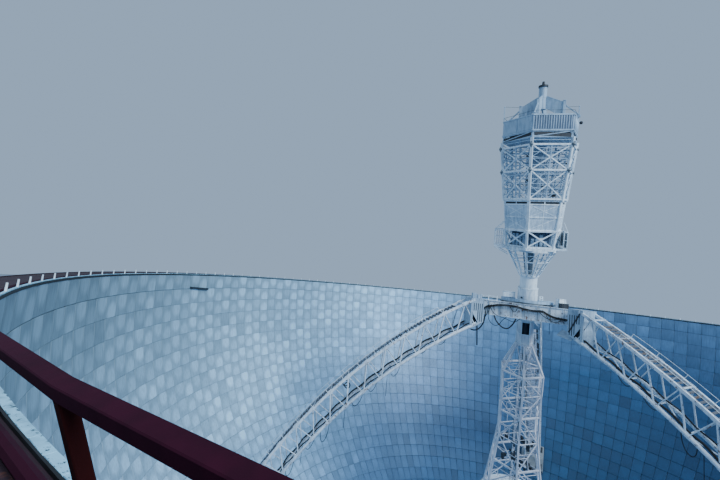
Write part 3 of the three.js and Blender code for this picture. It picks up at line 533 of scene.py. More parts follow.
@dataclass(frozen=True)
class PanelSheet(Finish):
    """Mill-finish aluminium sheet gone dull in the open: each panel its own shade, and rain has run over all.

    Across the bowl the colours paint light: dimmer beside the walkway, a painted reflection of the sky on the
    near wall, then painted shade deepening to the far wall; the stain is rust that has run down from above.
    """

    # The first six colours paint light across the bowl: dimmer beside the walkway, a painted sky reflection,
    # then painted shade deepening to the far wall.
    walkway_end: str = "#7A96A6"
    bright: str = "#B6DEF7"
    reflection_fade: str = "#A0CAE9"
    shaded: str = "#6088AE"
    deeper_shade: str = "#2C5A82"
    deep: str = "#173F5E"
    stain: str = "#9A8440"

    # The way across the bowl from the walkway to the far wall in painted shade, in the model, and where it
    # starts and ends.
    ACROSS = (0.25, 0.56, -0.79)
    REACH = (-20.0, 4.0)
    # Where the painted highlight sits on each panel, and how strong it is beside the walkway and at the far
    # wall.
    LIT_SPOT = (0.12, 0.0, 0.0)
    LIT_SHARE = (1.5, 0.4)
    TINT_SHARE = 1.6
    PLAIN_TINT = 0.2
    STREAK_WIDTH = 0.05
    STREAK_STRETCH = 0.1
    STAIN_SIZE = 1.6

    def surface(self, node: NodeMaker, place: NodeSocket) -> Surface:
        """Work the shader's sockets out, as Finish.surface says."""
        towards = node("VectorMath", {0: place, 1: self.ACROSS}, "Value", operation="DOT_PRODUCT")
        near, far = self.REACH
        across = node("MapRange", {"Value": towards, "From Min": near, "From Max": far})
        # The ramp paints light across the bowl: a painted sky reflection on the near wall, painted shade on
        # the far wall.
        sheet = node("ValToRGB", {"Fac": across})
        stops = sheet.node.color_ramp.elements
        shades = {0.05: self.walkway_end, 0.45: self.bright, 0.56: self.reflection_fade, 0.73: self.shaded, 0.83: self.deeper_shade}
        for at, colour in shades.items():
            stops.new(at).color = linear(colour)
        stops[0].color, stops[len(stops) - 1].color = linear(self.walkway_end), linear(self.deep)
        tint = node("Attribute", out="Fac", attribute_name="tint")
        # Each panel's marks give it a painted highlight round one spot and painted shade away from it.
        spot = node("Attribute", out="Vector", attribute_name="dish")
        off = node("VectorMath", {0: spot, 1: self.LIT_SPOT}, "Value", operation="DISTANCE")
        falloff = {"From Min": 0.56, "From Max": 0.3, "To Min": -0.6, "To Max": 0.5}
        lit = node("MapRange", {"Value": off, **falloff})
        left, right = self.LIT_SHARE
        fade = {"From Min": 0.45, "From Max": 0.75, "To Min": left, "To Max": right}
        most = node("MapRange", {"Value": across, **fade})
        share = node("Math", {0: tint, 1: most}, operation="MULTIPLY")
        plain = 1.0 - self.PLAIN_TINT * self.TINT_SHARE
        glow = node("Math", {0: lit, 1: share, 2: plain}, operation="MULTIPLY_ADD")
        # The panel's own random tone plus its painted highlight.
        own = node("Math", {0: tint, 1: self.TINT_SHARE, 2: glow}, operation="MULTIPLY_ADD")
        drawn = drawn_down(node, place, self.STREAK_WIDTH, self.STREAK_STRETCH)
        streaks = node("TexNoise", {"Vector": drawn, "Scale": 1.0, "Detail": 3.0})
        wear = {"From Min": 0.4, "From Max": 0.7, "To Min": 1.06, "To Max": 0.86}
        worn = node("MapRange", {"Value": streaks, **wear})
        value = node("Math", {0: own, 1: worn}, operation="MULTIPLY")
        # The ramp's painted light and each panel's painted highlight, with the panel's own tone and rain
        # streaks.
        painted_light_and_wear = node("HueSaturation", {"Color": sheet, "Value": value})
        blotches = {"Vector": place, "Scale": 1 / self.STAIN_SIZE, "Detail": 6.0, "Roughness": 0.6}
        edge = {"From Min": 0.72, "From Max": 0.78, "To Max": 0.5}
        stained = node("MapRange", {"Value": node("TexNoise", blotches), **edge})
        return {
            "Base Color": node("Mix", {0: stained, 6: painted_light_and_wear, 7: linear(self.stain)}, **RGB),
            "Roughness": node("MapRange", {"Value": streaks, "To Min": 0.38, "To Max": 0.6}),
            "Metallic": 0.12,
        }


@dataclass(frozen=True)
class Concrete(Finish):
    """Board-marked concrete: grey cement with its shutters' lines, pitted, and dark where rain runs down."""

    pale: str = "#8C969E"
    dark: str = "#5C666E"

    BOARD = 0.3
    # A wave texture of scale 1 repeats every 0.314 m.
    WAVE = 0.314
    PIT = 0.035
    RUN_WIDTH = 0.5
    RUN_STRETCH = 0.12

    def surface(self, node: NodeMaker, place: NodeSocket) -> Surface:
        """Work the shader's sockets out, as Finish.surface says."""
        drawn = drawn_down(node, place, self.RUN_WIDTH, self.RUN_STRETCH)
        runs = node("TexNoise", {"Vector": drawn, "Scale": 1.0, "Detail": 6.0})
        wet = node("MapRange", {"Value": runs, "From Min": 0.42, "From Max": 0.68})
        colour = node("Mix", {0: wet, 6: linear(self.pale), 7: linear(self.dark)}, **RGB)
        ruled = {"Vector": place, "Scale": self.WAVE / self.BOARD, "Distortion": 0.4, "Detail": 1.0}
        boards = node("TexWave", ruled, "Fac", bands_direction="Z", wave_profile="SAW")
        pits = node("TexNoise", {"Vector": place, "Scale": 1 / self.PIT, "Detail": 6.0})
        height = node("Math", {0: boards, 1: 0.5, 2: pits}, operation="MULTIPLY_ADD")
        lines = node("MapRange", {"Value": boards, "From Min": 0.93, "To Max": 0.5})
        return {
            "Base Color": node("Mix", {0: lines, 6: colour, 7: linear(self.dark)}, **RGB),
            "Normal": node("Bump", {"Strength": 0.5, "Distance": 0.012, "Height": height}),
            "Roughness": 0.92,
        }


@dataclass(frozen=True)
class BareMetal(Finish):
    """Turned, rolled or spun metal without paint: a fine grain under dull films of grease and oxide."""

    metal: str = "#8C949A"
    film: str = "#3C4044"
    roughness: float = 0.35

    GRAIN = 0.02
    FILM_SIZE = 0.35

    def surface(self, node: NodeMaker, place: NodeSocket) -> Surface:
        """Work the shader's sockets out, as Finish.surface says."""
        films = node("TexNoise", {"Vector": place, "Scale": 1 / self.FILM_SIZE, "Detail": 5.0})
        share = node("MapRange", {"Value": films, "From Min": 0.4, "From Max": 0.72})
        grain = node("TexNoise", {"Vector": place, "Scale": 1 / self.GRAIN, "Detail": 2.0})
        spread = {"To Min": self.roughness - 0.08, "To Max": self.roughness + 0.2}
        return {
            "Base Color": node("Mix", {0: share, 6: linear(self.metal), 7: linear(self.film)}, **RGB),
            "Roughness": node("MapRange", {"Value": grain, **spread}),
            "Metallic": 0.9,
        }


@dataclass(frozen=True)
class CableJacket(Finish):
    """Black rubber cable jacket: matt with dust on top, with a dull sheen where hands have been."""

    rubber: str = "#0C0F14"
    dust: str = "#2C343C"

    DUST_SIZE = 0.2

    def surface(self, node: NodeMaker, place: NodeSocket) -> Surface:
        """Work the shader's sockets out, as Finish.surface says."""
        dust = node("TexNoise", {"Vector": place, "Scale": 1 / self.DUST_SIZE, "Detail": 5.0})
        share = node("MapRange", {"Value": dust, "From Min": 0.45, "From Max": 0.8, "To Max": 0.6})
        return {
            "Base Color": node("Mix", {0: share, 6: linear(self.rubber), 7: linear(self.dust)}, **RGB),
            "Roughness": node("MapRange", {"Value": dust, "To Min": 0.55, "To Max": 0.85}),
            "IOR": 1.52,
        }


WHITE_PAINT = partial(Paint, slot="white_paint")
SHEET_PAINT = partial(Paint, slot="painted_sheet", rust_level=0.75)
RED_PAINT = partial(Paint, slot="red_oxide_paint", patch=0.08, gloss=0.1)
RUSTY_STEEL = partial(Paint, slot="rusty_steel", roughness=0.85)
DARK_STEEL = partial(Paint, slot="dark_steel", rust_level=0.7, roughness=0.6)


class Finishes:
    """The finishes that the telescope shows."""

    CONCRETE = Concrete("Board-marked concrete", "concrete")
    # The panels' finish paints light across the bowl and a highlight on each panel.
    PANEL = PanelSheet("Weathered aluminium panel with painted light", "mirror_panels")
    RACE = BareMetal("Machined steel", "dark_steel")
    MIRROR = BareMetal("Spun aluminium mirror", "mirror_panels", "#B4C2CC", "#8794A0", 0.28)
    RUBBER = CableJacket("Black cable jacket", "cable_rubber")
    WHITE = WHITE_PAINT("White alkyd paint", coat="#E8F6FF", dirt="#86A6C0", rust_level=0.7)
    # White paint made darker: painted shade on the tower's inner posts and core, and grime.
    GRIME_AND_SHADE = WHITE_PAINT("Grimy white paint with painted shade", coat="#A6BED2", dirt="#617D98", rust_level=0.68)
    STAINED = WHITE_PAINT(
        "Rust-stained white paint", coat="#D9E8F5", dirt="#7590A8", rust="#7E6258", rust_level=0.57, patch=0.1
    )
    PALE = WHITE_PAINT("Chalked white paint", coat="#DDE2EC", dirt="#8F96AC", rust="#86706C")
    KERB = WHITE_PAINT(
        "Spalled white line paint", coat="#98D0EA", dirt="#506878", rust="#1E242C",
        rust_level=0.56, roughness=0.75, patch=0.03,
    )
    SHEET = SHEET_PAINT("Blue-grey sheet paint", coat="#A3BED4", dirt="#5C7C9A")
    PANELLING = SHEET_PAINT("White sheet paint", coat="#CBDFEF", dirt="#7D9AB4", rust_level=0.76, tinted=0.3)
    RED = RED_PAINT(
        "Maroon enamel", coat="#33091F", dirt="#1E0615", rust="#3A1018", rust_level=0.7, roughness=0.7
    )
    OXIDE = RED_PAINT(
        "Red oxide primer", coat="#300C0C", dirt="#16080C", rust="#421610", rust_level=0.62, roughness=0.85
    )
    RUST = RUSTY_STEEL(
        "Rusted steel", coat="#646A74", dirt="#383C46", rust="#65503F", rust_level=0.54, patch=0.1
    )
    TREAD = RUSTY_STEEL("Dark tread plate", coat="#2C1826", dirt="#1A1018", rust="#54302C", rust_level=0.6)
    DARK = DARK_STEEL("Dark steel paint", coat="#1E2731", dirt="#343F4A")
    LINING = DARK_STEEL("Blue-black sheet", coat="#4C6480", dirt="#34485E", rust_level=0.75)
    GREY = DARK_STEEL("Grey machine paint", coat="#6F7E8A", dirt="#414C57", roughness=0.5)


@dataclass
class Piece:
    """Copies of workshop meshes that become one named piece.

    Attributes:
        name: The piece's name.
        copies: Each copy's mesh, placing and tint.
    """

    name: str
    copies: list[tuple[Mesh, Matrix, float]] = field(default_factory=list)

    SMOOTH_ANGLE = math.radians(37.0)

    def add(self, mesh: Mesh, place: Matrix | Vector | None = None, tint: float = 0.0) -> None:
        """Add a copy of a mesh.

        Args:
            mesh: What is copied.
            place: Its placing, or where its origin goes, or None to leave it in place.
            tint: Shade of this copy, 0 to 1.
        """
        if place is None:
            place = Matrix.Identity(4)
        elif isinstance(place, Vector):
            place = Matrix.Translation(place)
        self.copies.append((mesh, place, tint))

    def slab(
        self, size: Sequence[float], place: Matrix | Vector, tint: float = 0.0, bevel: float = 0.01
    ) -> None:
        """Add a block of a size along X, Y and Z with bevelled edges, its middle at a place."""
        self.add(WORKSHOP.slab(size, bevel), place, tint)

    def strut(
        self, start: Vector, end: Vector, width: float, depth: float | None = None, section: Stock = Stock.BOX
    ) -> None:
        """Add a straight length of stock from one point to another.

        Args:
            start: Middle of one end.
            end: Middle of the other end.
            width: Size across.
            depth: The other size across; the same if left out.
            section: The kind of section.
        """
        run = end - start
        sizes = Vector((width, width if depth is None else depth, run.length))
        facing = run.to_track_quat("Z", "Y")
        self.add(WORKSHOP.stock(section), Matrix.LocRotScale((start + end) / 2, facing, sizes))

    def rod(self, start: Vector, end: Vector, width: float) -> None:
        """Add a round rod from one point to another."""
        self.strut(start, end, width, section=Stock.ROUND)

    def run(
        self, points: Sequence[Vector], width: float, section: Stock = Stock.ROUND, loop: bool = False
    ) -> None:
        """Add straight lengths of stock from point to point.

        Args:
            points: The corners of the run.
            width: Size across.
            section: The kind of section.
            loop: Whether the last point is joined to the first.
        """
        ends = list(points[1:]) + ([points[0]] if loop else [])
        for start, end in zip(points, ends):
            self.strut(start, end, width, section=section)

    def drum(self, foot: Vector, radius: float, height: float, sides: int, top_share: float = 1.0) -> None:
        """Add an upright drum on a foot, its radius at the top a share of that at the foot."""
        sizes = Vector((radius, radius, height))
        self.add(WORKSHOP.drum(sides, top_share), Matrix.LocRotScale(foot + UP * height / 2, None, sizes))

    def ring(
        self, inner: float, outer: float, bottom: float, top: float, steps: int = 96, start: float = 0.0
    ) -> None:
        """Add a flat ring round the axis with a corner at a bearing, or a plate if its inner radius is 0."""
        outline = [(inner, bottom), (outer, bottom), (outer, top), (inner, top)]
        self.add(WORKSHOP.lathe(outline, steps, start))

    def ball(self, middle: Vector, radius: float) -> None:
        """Add a ball."""
        self.add(WORKSHOP.ball(), Matrix.LocRotScale(middle, None, Vector((radius,) * 3)))

    def cable(self, points: Iterable[Vector], radius: float, loop: bool = False) -> None:
        """Add a smooth round cable through points."""
        self.add(WORKSHOP.tube(points, radius, loop))

    def turned(self, outward: Matrix) -> None:
        """Turn every copy so far by a placing."""
        self.copies = [(mesh, outward @ place, tint) for mesh, place, tint in self.copies]

    def _joined(self, frame: Matrix) -> Mesh:
        """Join the copies into one mesh that keeps each copy's tint and the mirror panels' painted-highlight
        marks.

        Args:
            frame: The placing that brings them to the model.

        Returns:
            The mesh.
        """
        points: list[tuple[float, float, float]] = []
        faces: list[list[int]] = []
        tints: list[float] = []
        highlight_marks: list[float] = []
        for mesh, place, tint in self.copies:
            placing = frame @ place
            first = len(points)
            points.extend((placing @ vertex.co)[:] for vertex in mesh.vertices)
            faces.extend([first + i for i in face.vertices] for face in mesh.polygons)
            tints.extend([tint] * len(mesh.polygons))
            # Marks that place the painted highlight on mirror panels; other meshes get none.
            dish = mesh.attributes.get("dish")
            for mark in dish.data if dish else ():
                highlight_marks.extend(mark.vector)
            if not dish:
                highlight_marks.extend([0.0] * 3 * len(mesh.vertices))
        whole = bpy.data.meshes.new(self.name)
        whole.from_pydata(points, [], faces)
        whole.attributes.new("tint", "FLOAT", "FACE").data.foreach_set("value", tints)
        if any(highlight_marks):
            whole.attributes.new("dish", "FLOAT_VECTOR", "POINT").data.foreach_set("vector", highlight_marks)
        return whole

    def finish(self, body: str, finish: Finish, *nodes: str) -> None:
        """Bring the piece to the model, dress it and let it ride.

        Args:
            body: The body that the piece moves with.
            finish: Its finish.
            *nodes: CAD nodes that the piece stands for.
        """
        whole = self._joined(body_frame(body))
        piece = WORKSHOP.laid_out(self.name, whole)
        bpy.ops.object.shade_smooth_by_angle(angle=self.SMOOTH_ANGLE)
        whole.materials.append(finish.material())
        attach(piece, body)
        if nodes:
            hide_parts(*nodes)
        LOG.info("%s: %d faces on %s, %s", self.name, len(whole.polygons), body, finish.name)


@dataclass
class MirrorPanels:
    """The bowl's reflecting skin: square sheet panels in straight columns, each marked for a painted
    highlight as if a little dished.
    """

    radius: float = 27.0
    row_pitch: float = 2.58
    first_row: float = 0.11
    rows: int = 34
    columns: int = 150
    lower_columns: int = 75
    lower_from: float = 60.0
    seam: float = 0.018
    wide_seam: float = 0.055
    low_seam: float = 0.6
    # Share of a panel's height by which its painted highlight sits above or below its middle, by turns.
    lit_step: float = 0.24
    after_wide: tuple[int, ...] = (1, 13, 18)
    sheet: float = 0.03
    bevel: float = 0.01
    shingle: float = 0.15
    sway: float = 0.1
    tint: tuple[float, float] = (0.2, 0.06)
    gap_bearings: tuple[float, float] = (-87.7, -71.3)
    gap_depressions: tuple[float, float] = (43.8, 51.4)

    def build(self) -> None:
        """Lay every panel in its row and finish one piece for each sector of the bowl."""
        chance = Random(54)
        pieces = [Piece(f"mirror_panels_{i + 1}") for i in range(SECTORS)]
        for row in range(self.rows):
            middle = self.first_row + (row + 0.5) * self.row_pitch
            columns = self.columns if middle < self.lower_from else self.lower_columns
            # Two cuts for the row, with the painted highlight low in one and high in the other, used by
            # turns.
            pair = [self._panel(row, middle, columns, step) for step in (-self.lit_step, self.lit_step)]
            for column in range(columns):
                bearing = (column + 0.5) * 360.0 / columns
                tint = min(max(chance.gauss(*self.tint), 0.0), 1.0)
                tilt = turn(chance.uniform(-self.sway, self.sway) - self.shingle, "X")
                place = facing_in(self.radius + self.sheet, bearing, middle) @ tilt
                if self._is_gap(bearing, middle):
                    continue
                sector = int((bearing - FIRST_SECTOR_BEARING) % 360.0 * SECTORS / 360.0)
                sway = turn(chance.uniform(-self.sway, self.sway))
                pieces[sector].add(pair[column % 2], place @ sway, tint)
        floor_radius = self.radius * math.cos(math.radians(self.first_row + self.rows * self.row_pitch))
        pieces[0].drum(Vector((0.0, 0.0, -self.radius)), floor_radius, self.sheet, 12)
        for i, piece in enumerate(pieces):
            piece.finish("structure", Finishes.PANEL, f"mirror_sector_{i + 1}")

    def _panel(self, row: int, middle: float, columns: int, step: float) -> Mesh:
        """Cut the sheet for one row and mark where its painted highlight falls.

        Args:
            row: Which row it is, from the rim.
            middle: Depression of the row's middle.
            columns: Panels in the row.
            step: Share of its height by which the painted highlight sits above its middle.

        Returns:
            The panel.
        """
        width = 2 * math.pi * self.radius * math.cos(math.radians(middle)) / columns - self.seam
        seam = self.wide_seam if row + 1 in self.after_wide else self.seam
        height = self.radius * math.radians(self.row_pitch) - seam * self.low_seam
        panel = WORKSHOP.slab((width, self.sheet, height), self.bevel).copy()
        # Marks that place the painted highlight: each corner's share across and up the panel, less the step.
        marks = [share for v in panel.vertices for share in (v.co.x / width, 0.0, v.co.z / height - step)]
        panel.attributes.new("dish", "FLOAT_VECTOR", "POINT").data.foreach_set("vector", marks)
        return panel

    def _is_gap(self, bearing: float, depression: float) -> bool:
        """Whether the service gap beside the left leg takes a panel's place."""
        low, high = self.gap_bearings
        top, bottom = self.gap_depressions
        return low < past_front(bearing) < high and top < depression < bottom


@dataclass
class BowlShell:
    """The concrete bowl: a thick shell in six pours, a ring beam under the walkway, ribs and a ring wall."""

    inner: float = 27.25
    outer: float = 27.79
    beam_reach: float = 28.6
    beam_depth: float = 1.1
    top: float = -0.1
    nib: float = 0.12
    pour_gap: float = 0.08
    steps: int = 20
    rib_depth: float = 0.6
    rib_root: float = 0.3
    rib_thickness: float = 0.45
    rib_angles: tuple[float, float] = (31.0, 87.0)
    ribs: int = 4
    first_rib: float = 3.75
    footing_angles: tuple[float, float] = (22.5, 30.0)
    plinth: float = 0.5

    @staticmethod
    def _meridian(radius: float, start: float, end: float, count: int) -> list[tuple[float, float]]:
        """Radii and heights on a sphere's meridian, between two angles off straight down."""
        angles = [math.radians(angle) for angle in steps_between(start, end, count)]
        return [(radius * math.sin(angle), -radius * math.cos(angle)) for angle in angles]

    def build(self) -> None:
        """Cast the six sectors and their ring wall."""
        pour = 360.0 / SECTORS
        rib = self._rib()
        for i in range(SECTORS):
            start = FIRST_SECTOR_BEARING + i * pour
            poured = (self.steps, start + self.pour_gap, pour - 2 * self.pour_gap)
            shell = Piece(f"bowl_shell_{i + 1}")
            shell.add(WORKSHOP.lathe(self._shell_outline(), *poured))
            for k in range(self.ribs):
                shell.add(rib, along_bearing(start + self.first_rib + k * pour / self.ribs))
            shell.finish("structure", Finishes.CONCRETE, f"bowl_sector_{i + 1}")
            wall = Piece(f"footing_wall_{i + 1}")
            wall.add(WORKSHOP.lathe(self._wall_outline(), *poured))
            wall.finish("structure", Finishes.CONCRETE, f"footing_{i + 1}")

    def _shell_outline(self) -> list[tuple[float, float]]:
        """Section of the shell with its ring beam and drip nib."""
        inside = self._meridian(self.inner, 1.0, 89.0, 44)
        foot = self.top - self.beam_depth
        beam = [(inside[-1][0], self.top), (self.beam_reach, self.top), (self.beam_reach, foot + self.nib)]
        beam += [(self.beam_reach - self.nib, foot), (self.outer, foot)]
        return inside + beam + self._meridian(self.outer, 1.0, 85.0, 42)[::-1]

    def _rib(self) -> Mesh:
        """A rib drawn along +X, upright."""
        first, last = self.rib_angles
        back = self._meridian(self.outer + self.rib_depth, first, last, 30)
        root = self._meridian(self.outer - self.rib_root, first, last, 30)[::-1]
        rib = WORKSHOP.extrusion(back + root, self.rib_thickness)
        rib.transform(UPRIGHT)
        return rib

    def _wall_outline(self) -> list[tuple[float, float]]:
        """Section of the ring wall with a stepped plinth, up to the shell's underside."""
        seat = self._meridian(self.outer, *self.footing_angles, 6)
        inner, reach = seat[0][0], seat[-1][0]
        step, plinth = 0.12, GROUND + self.plinth
        plain = [(inner, GROUND), (reach, GROUND), (reach, plinth), (reach - step, plinth + step)]
        return plain + [(reach - step, seat[-1][1] - step)] + seat[::-1]


@dataclass
class ServiceGap:
    """The framed gap in the panels beside the left leg, dark behind a white lattice: a dark lining paints the
    shade in it.
    """

    radius: float = 27.0
    bearings: tuple[float, float] = (-87.6, -71.4)
    depressions: tuple[float, float] = (43.9, 51.3)
    bays: int = 4
    frame: float = 0.12
    brace: float = 0.07
    recess: float = 0.12
    # Bearing and depression at each end of the short dark bar that paints a slot's shade near the rim.
    bar: Pairs = ((-71.9, 2.45), (-76.9, 2.82))

    def build(self) -> None:
        """Paint the gap's shade with a dark lining, put the lattice before it and add the dark bar that
        paints a slot's shade.
        """
        top, bottom = self.depressions
        middle = (top + bottom) / 2
        lining, lattice = Piece("service_gap_shade"), Piece("service_gap_lattice")
        stops = steps_between(*self.bearings, self.bays)
        back = self.radius + self.recess
        for start, end in zip(stops, stops[1:]):
            width = (on_sphere(back, start, top) - on_sphere(back, end, top)).length
            height = (on_sphere(back, start, top) - on_sphere(back, start, bottom)).length
            # Dark lining sheets paint the shade in the gap behind the lattice.
            lining.slab((width, 0.04, height), facing_in(back, (start + end) / 2, middle))
            spots = [(bearing, low) for bearing in (start, end) for low in (top, bottom)]
            a, b, c, d = (on_sphere(self.radius, *spot) for spot in spots)
            lattice.run([c, a, b, d], self.frame, Stock.BOX)
            lattice.strut(a, d, self.brace)
            lattice.strut(b, c, self.brace)
        lattice.strut(*(on_sphere(self.radius, stops[-1], low) for low in (top, bottom)), self.frame)
        # The short dark bar paints the shade of a slot in the panels near the rim.
        lining.strut(*(on_sphere(26.93, bearing, low) for bearing, low in self.bar), 0.15)
        lining.finish("structure", Finishes.DARK)
        lattice.finish("structure", Finishes.WHITE)


@dataclass
class Rim:
    """What runs round the rim: the painted kerb, its joint strip, pegs, a pipe, a conduit and the walkway."""

    kerb_radius: float = 27.0575
    kerb_width: float = 0.075
    kerb_height: float = 0.1
    kerb_blocks: int = 540
    joint: float = 0.004
    peg_count: int = 130
    peg_radius: float = 0.03
    peg_height: float = 0.24
    pegs_miss: tuple[float, float] = (-9.0, 3.0)
    pipe: tuple[float, float] = (27.2, 0.05)
    conduit: tuple[float, float] = (27.33, 0.02)
    plate_from: float = 27.4
    plate_to: float = 28.5
    plate: float = 0.04
    plates: int = 120
    top: float = -0.1
    strips: tuple[tuple[float, ...], ...] = ((27.011, 27.02, -0.13, -0.03), (27.098, 27.118, -0.1, -0.004))
    steps: int = 144

    def build(self) -> None:
        """Lay the kerb and everything outside it."""
        chance = Random(7)
        kerb = Piece("kerb_blocks")
        pitch = 360.0 / self.kerb_blocks
        length = math.radians(pitch) * self.kerb_radius - self.joint
        for i in range(self.kerb_blocks):
            place = square_to(i * pitch, self.kerb_radius, -self.kerb_height / 2)
            slight = turn(chance.uniform(-0.6, 0.6))
            kerb.slab((length, self.kerb_width, self.kerb_height), place @ slight, bevel=FINE_BEVEL)
        kerb.finish("structure", Finishes.KERB, "rim_kerb")
        strip = Piece("kerb_joint_strip")
        for sizes in self.strips:
            strip.ring(*sizes, self.steps)
        strip.finish("structure", Finishes.RUBBER)
        self._pegs()
        for name, (radius, size), finish in (
            ("rim_pipe", self.pipe, Finishes.RED),
            ("rim_conduit", self.conduit, Finishes.GREY),
        ):
            pipe = Piece(name)
            height = self.top + size + 0.02
            pipe.add(WORKSHOP.lathe([(radius + x, height + y) for x, y in circle(8, size)], self.steps))
            pipe.finish("structure", finish)
        self._walkway()

    def _pegs(self) -> None:
        """Set the short pegs that stand on the kerb."""
        pegs = Piece("rim_pegs")
        low, high = self.pegs_miss
        for i in range(self.peg_count):
            bearing = (i + 0.5) * 360.0 / self.peg_count
            if not low < past_front(bearing) < high:
                foot = on_bearing(self.kerb_radius, bearing, -0.02)
                pegs.drum(foot, self.peg_radius, self.peg_height, 8, 0.8)
        pegs.finish("structure", Finishes.WHITE)

    def _walkway(self) -> None:
        """Lay tread plates between a channel and an edge angle on the ring beam."""
        walkway = Piece("walkway_plates")
        pitch = 360.0 / self.plates
        middle = (self.plate_from + self.plate_to) / 2
        size = (math.radians(pitch) * middle - 0.03, self.plate_to - self.plate_from, self.plate)
        for i in range(self.plates):
            walkway.slab(size, square_to(i * pitch, middle, self.top + self.plate / 2))
        walkway.ring(self.plate_to, 28.56, self.top - 0.12, self.top + 0.07, self.steps)
        walkway.ring(27.125, self.plate_from - 0.01, self.top, self.top + 0.015, self.steps)
        walkway.ring(27.1, 27.14, self.top, -0.035, self.steps)
        walkway.finish("structure", Finishes.TREAD, "rim_walkway")


@dataclass
class GuardRail:
    """The visitors' rail: a box rail on leaning posts, each with curved gussets and a foot plate."""

    bays: int = 6
    bay_angle: float = 4.6
    middle: float = -7.9
    rail_radius: float = 27.4725
    rail_level: float = 0.77
    rail_size: float = 0.072
    post_foot: float = 27.2
    post: float = 0.06
    foot_level: float = -0.068
    gusset: float = 0.055
    skew: float = 0.035

    def build(self) -> None:
        """Weld the rail together."""
        rail, posts = Piece("guard_rail_box"), Piece("guard_rail_posts")
        sweep = self.bays * self.bay_angle
        start = self.middle - sweep / 2
        lean = math.atan2(self.rail_radius - self.post_foot, self.rail_level - self.foot_level)
        cos, sin = math.cos(lean), math.sin(lean)
        outline = [
            (self.rail_radius + x * cos + y * sin, self.rail_level + y * cos - x * sin)
            for x, y in chamfered(self.rail_size / 2, self.rail_size / 2 - 0.005)
        ]
        rail.add(WORKSHOP.lathe(outline, self.bays, start, sweep))
        for bearing in steps_between(start, start + sweep, self.bays):
            self._post(posts, bearing)
        rail.finish("structure", Finishes.RED, "guard_rail")
        posts.finish("structure", Finishes.OXIDE)

    def _post(self, posts: Piece, bearing: float) -> None:
        """Add a post with its gussets, foot plate and bolts.

        Args:
            posts: The piece that it joins.
            bearing: Where it stands.
        """
        foot = on_bearing(self.post_foot, bearing + self.skew, self.foot_level)
        head = on_bearing(self.rail_radius, bearing - self.skew, self.rail_level)
        length, up = (head - foot).length, (head - foot).normalized()
        inwards = up.cross(turn(bearing) @ Vector((1.0, 0.0, 0.0))).normalized()
        frame = Matrix.Translation(foot) @ Matrix((inwards.cross(up), inwards, up)).transposed().to_4x4()
        posts.slab((self.post, self.post, length), frame @ shift(0.0, 0.0, length / 2), bevel=0.006)
        flat = Matrix.Translation(foot) @ turn(bearing)
        posts.slab((0.22, 0.12, 0.012), flat, bevel=0.003)
        for side in (-1.0, 1.0):
            posts.drum(flat @ Vector((side * 0.085, 0.0, 0.005)), 0.014, 0.02, 6)
            posts.add(self._web(side), frame @ shift(0.0, 0.0, length) @ UPRIGHT)

    def _web(self, side: float) -> Mesh:
        """Curved web plate between the post's head and the rail.

        Args:
            side: -1 or 1, the side of the post.

        Returns:
            The plate, drawn flat.
        """
        corner = Vector((self.post / 2 - 0.004, 0.002 - self.rail_size / 2))
        angles = [math.pi / 8 * i for i in range(5)]
        curve = [corner + self.gusset * Vector((1 - math.sin(a), math.cos(a) - 1)) for a in angles]
        return WORKSHOP.extrusion([(side * p.x, p.y) for p in [corner, *curve]], self.post * 0.8)


@dataclass
class Arch:
    """An arc in a leg's own upright plane, X outwards from the hub."""

    centre: float
    level: float
    radius: float
    first: float
    last: float

    def angle(self, share: float) -> float:
        """Angle off upright at a share of the arc, in degrees."""
        return self.first + (self.last - self.first) * share

    def at(self, share: float, offset: float = 0.0, rise: float = 0.0) -> Vector:
        """Point at a share of the arc, 0 at the hub's end, set off across the leg and outwards."""
        angle, reach = math.radians(self.angle(share)), self.radius + rise
        return Vector((self.centre + reach * math.sin(angle), offset, self.level + reach * math.cos(angle)))


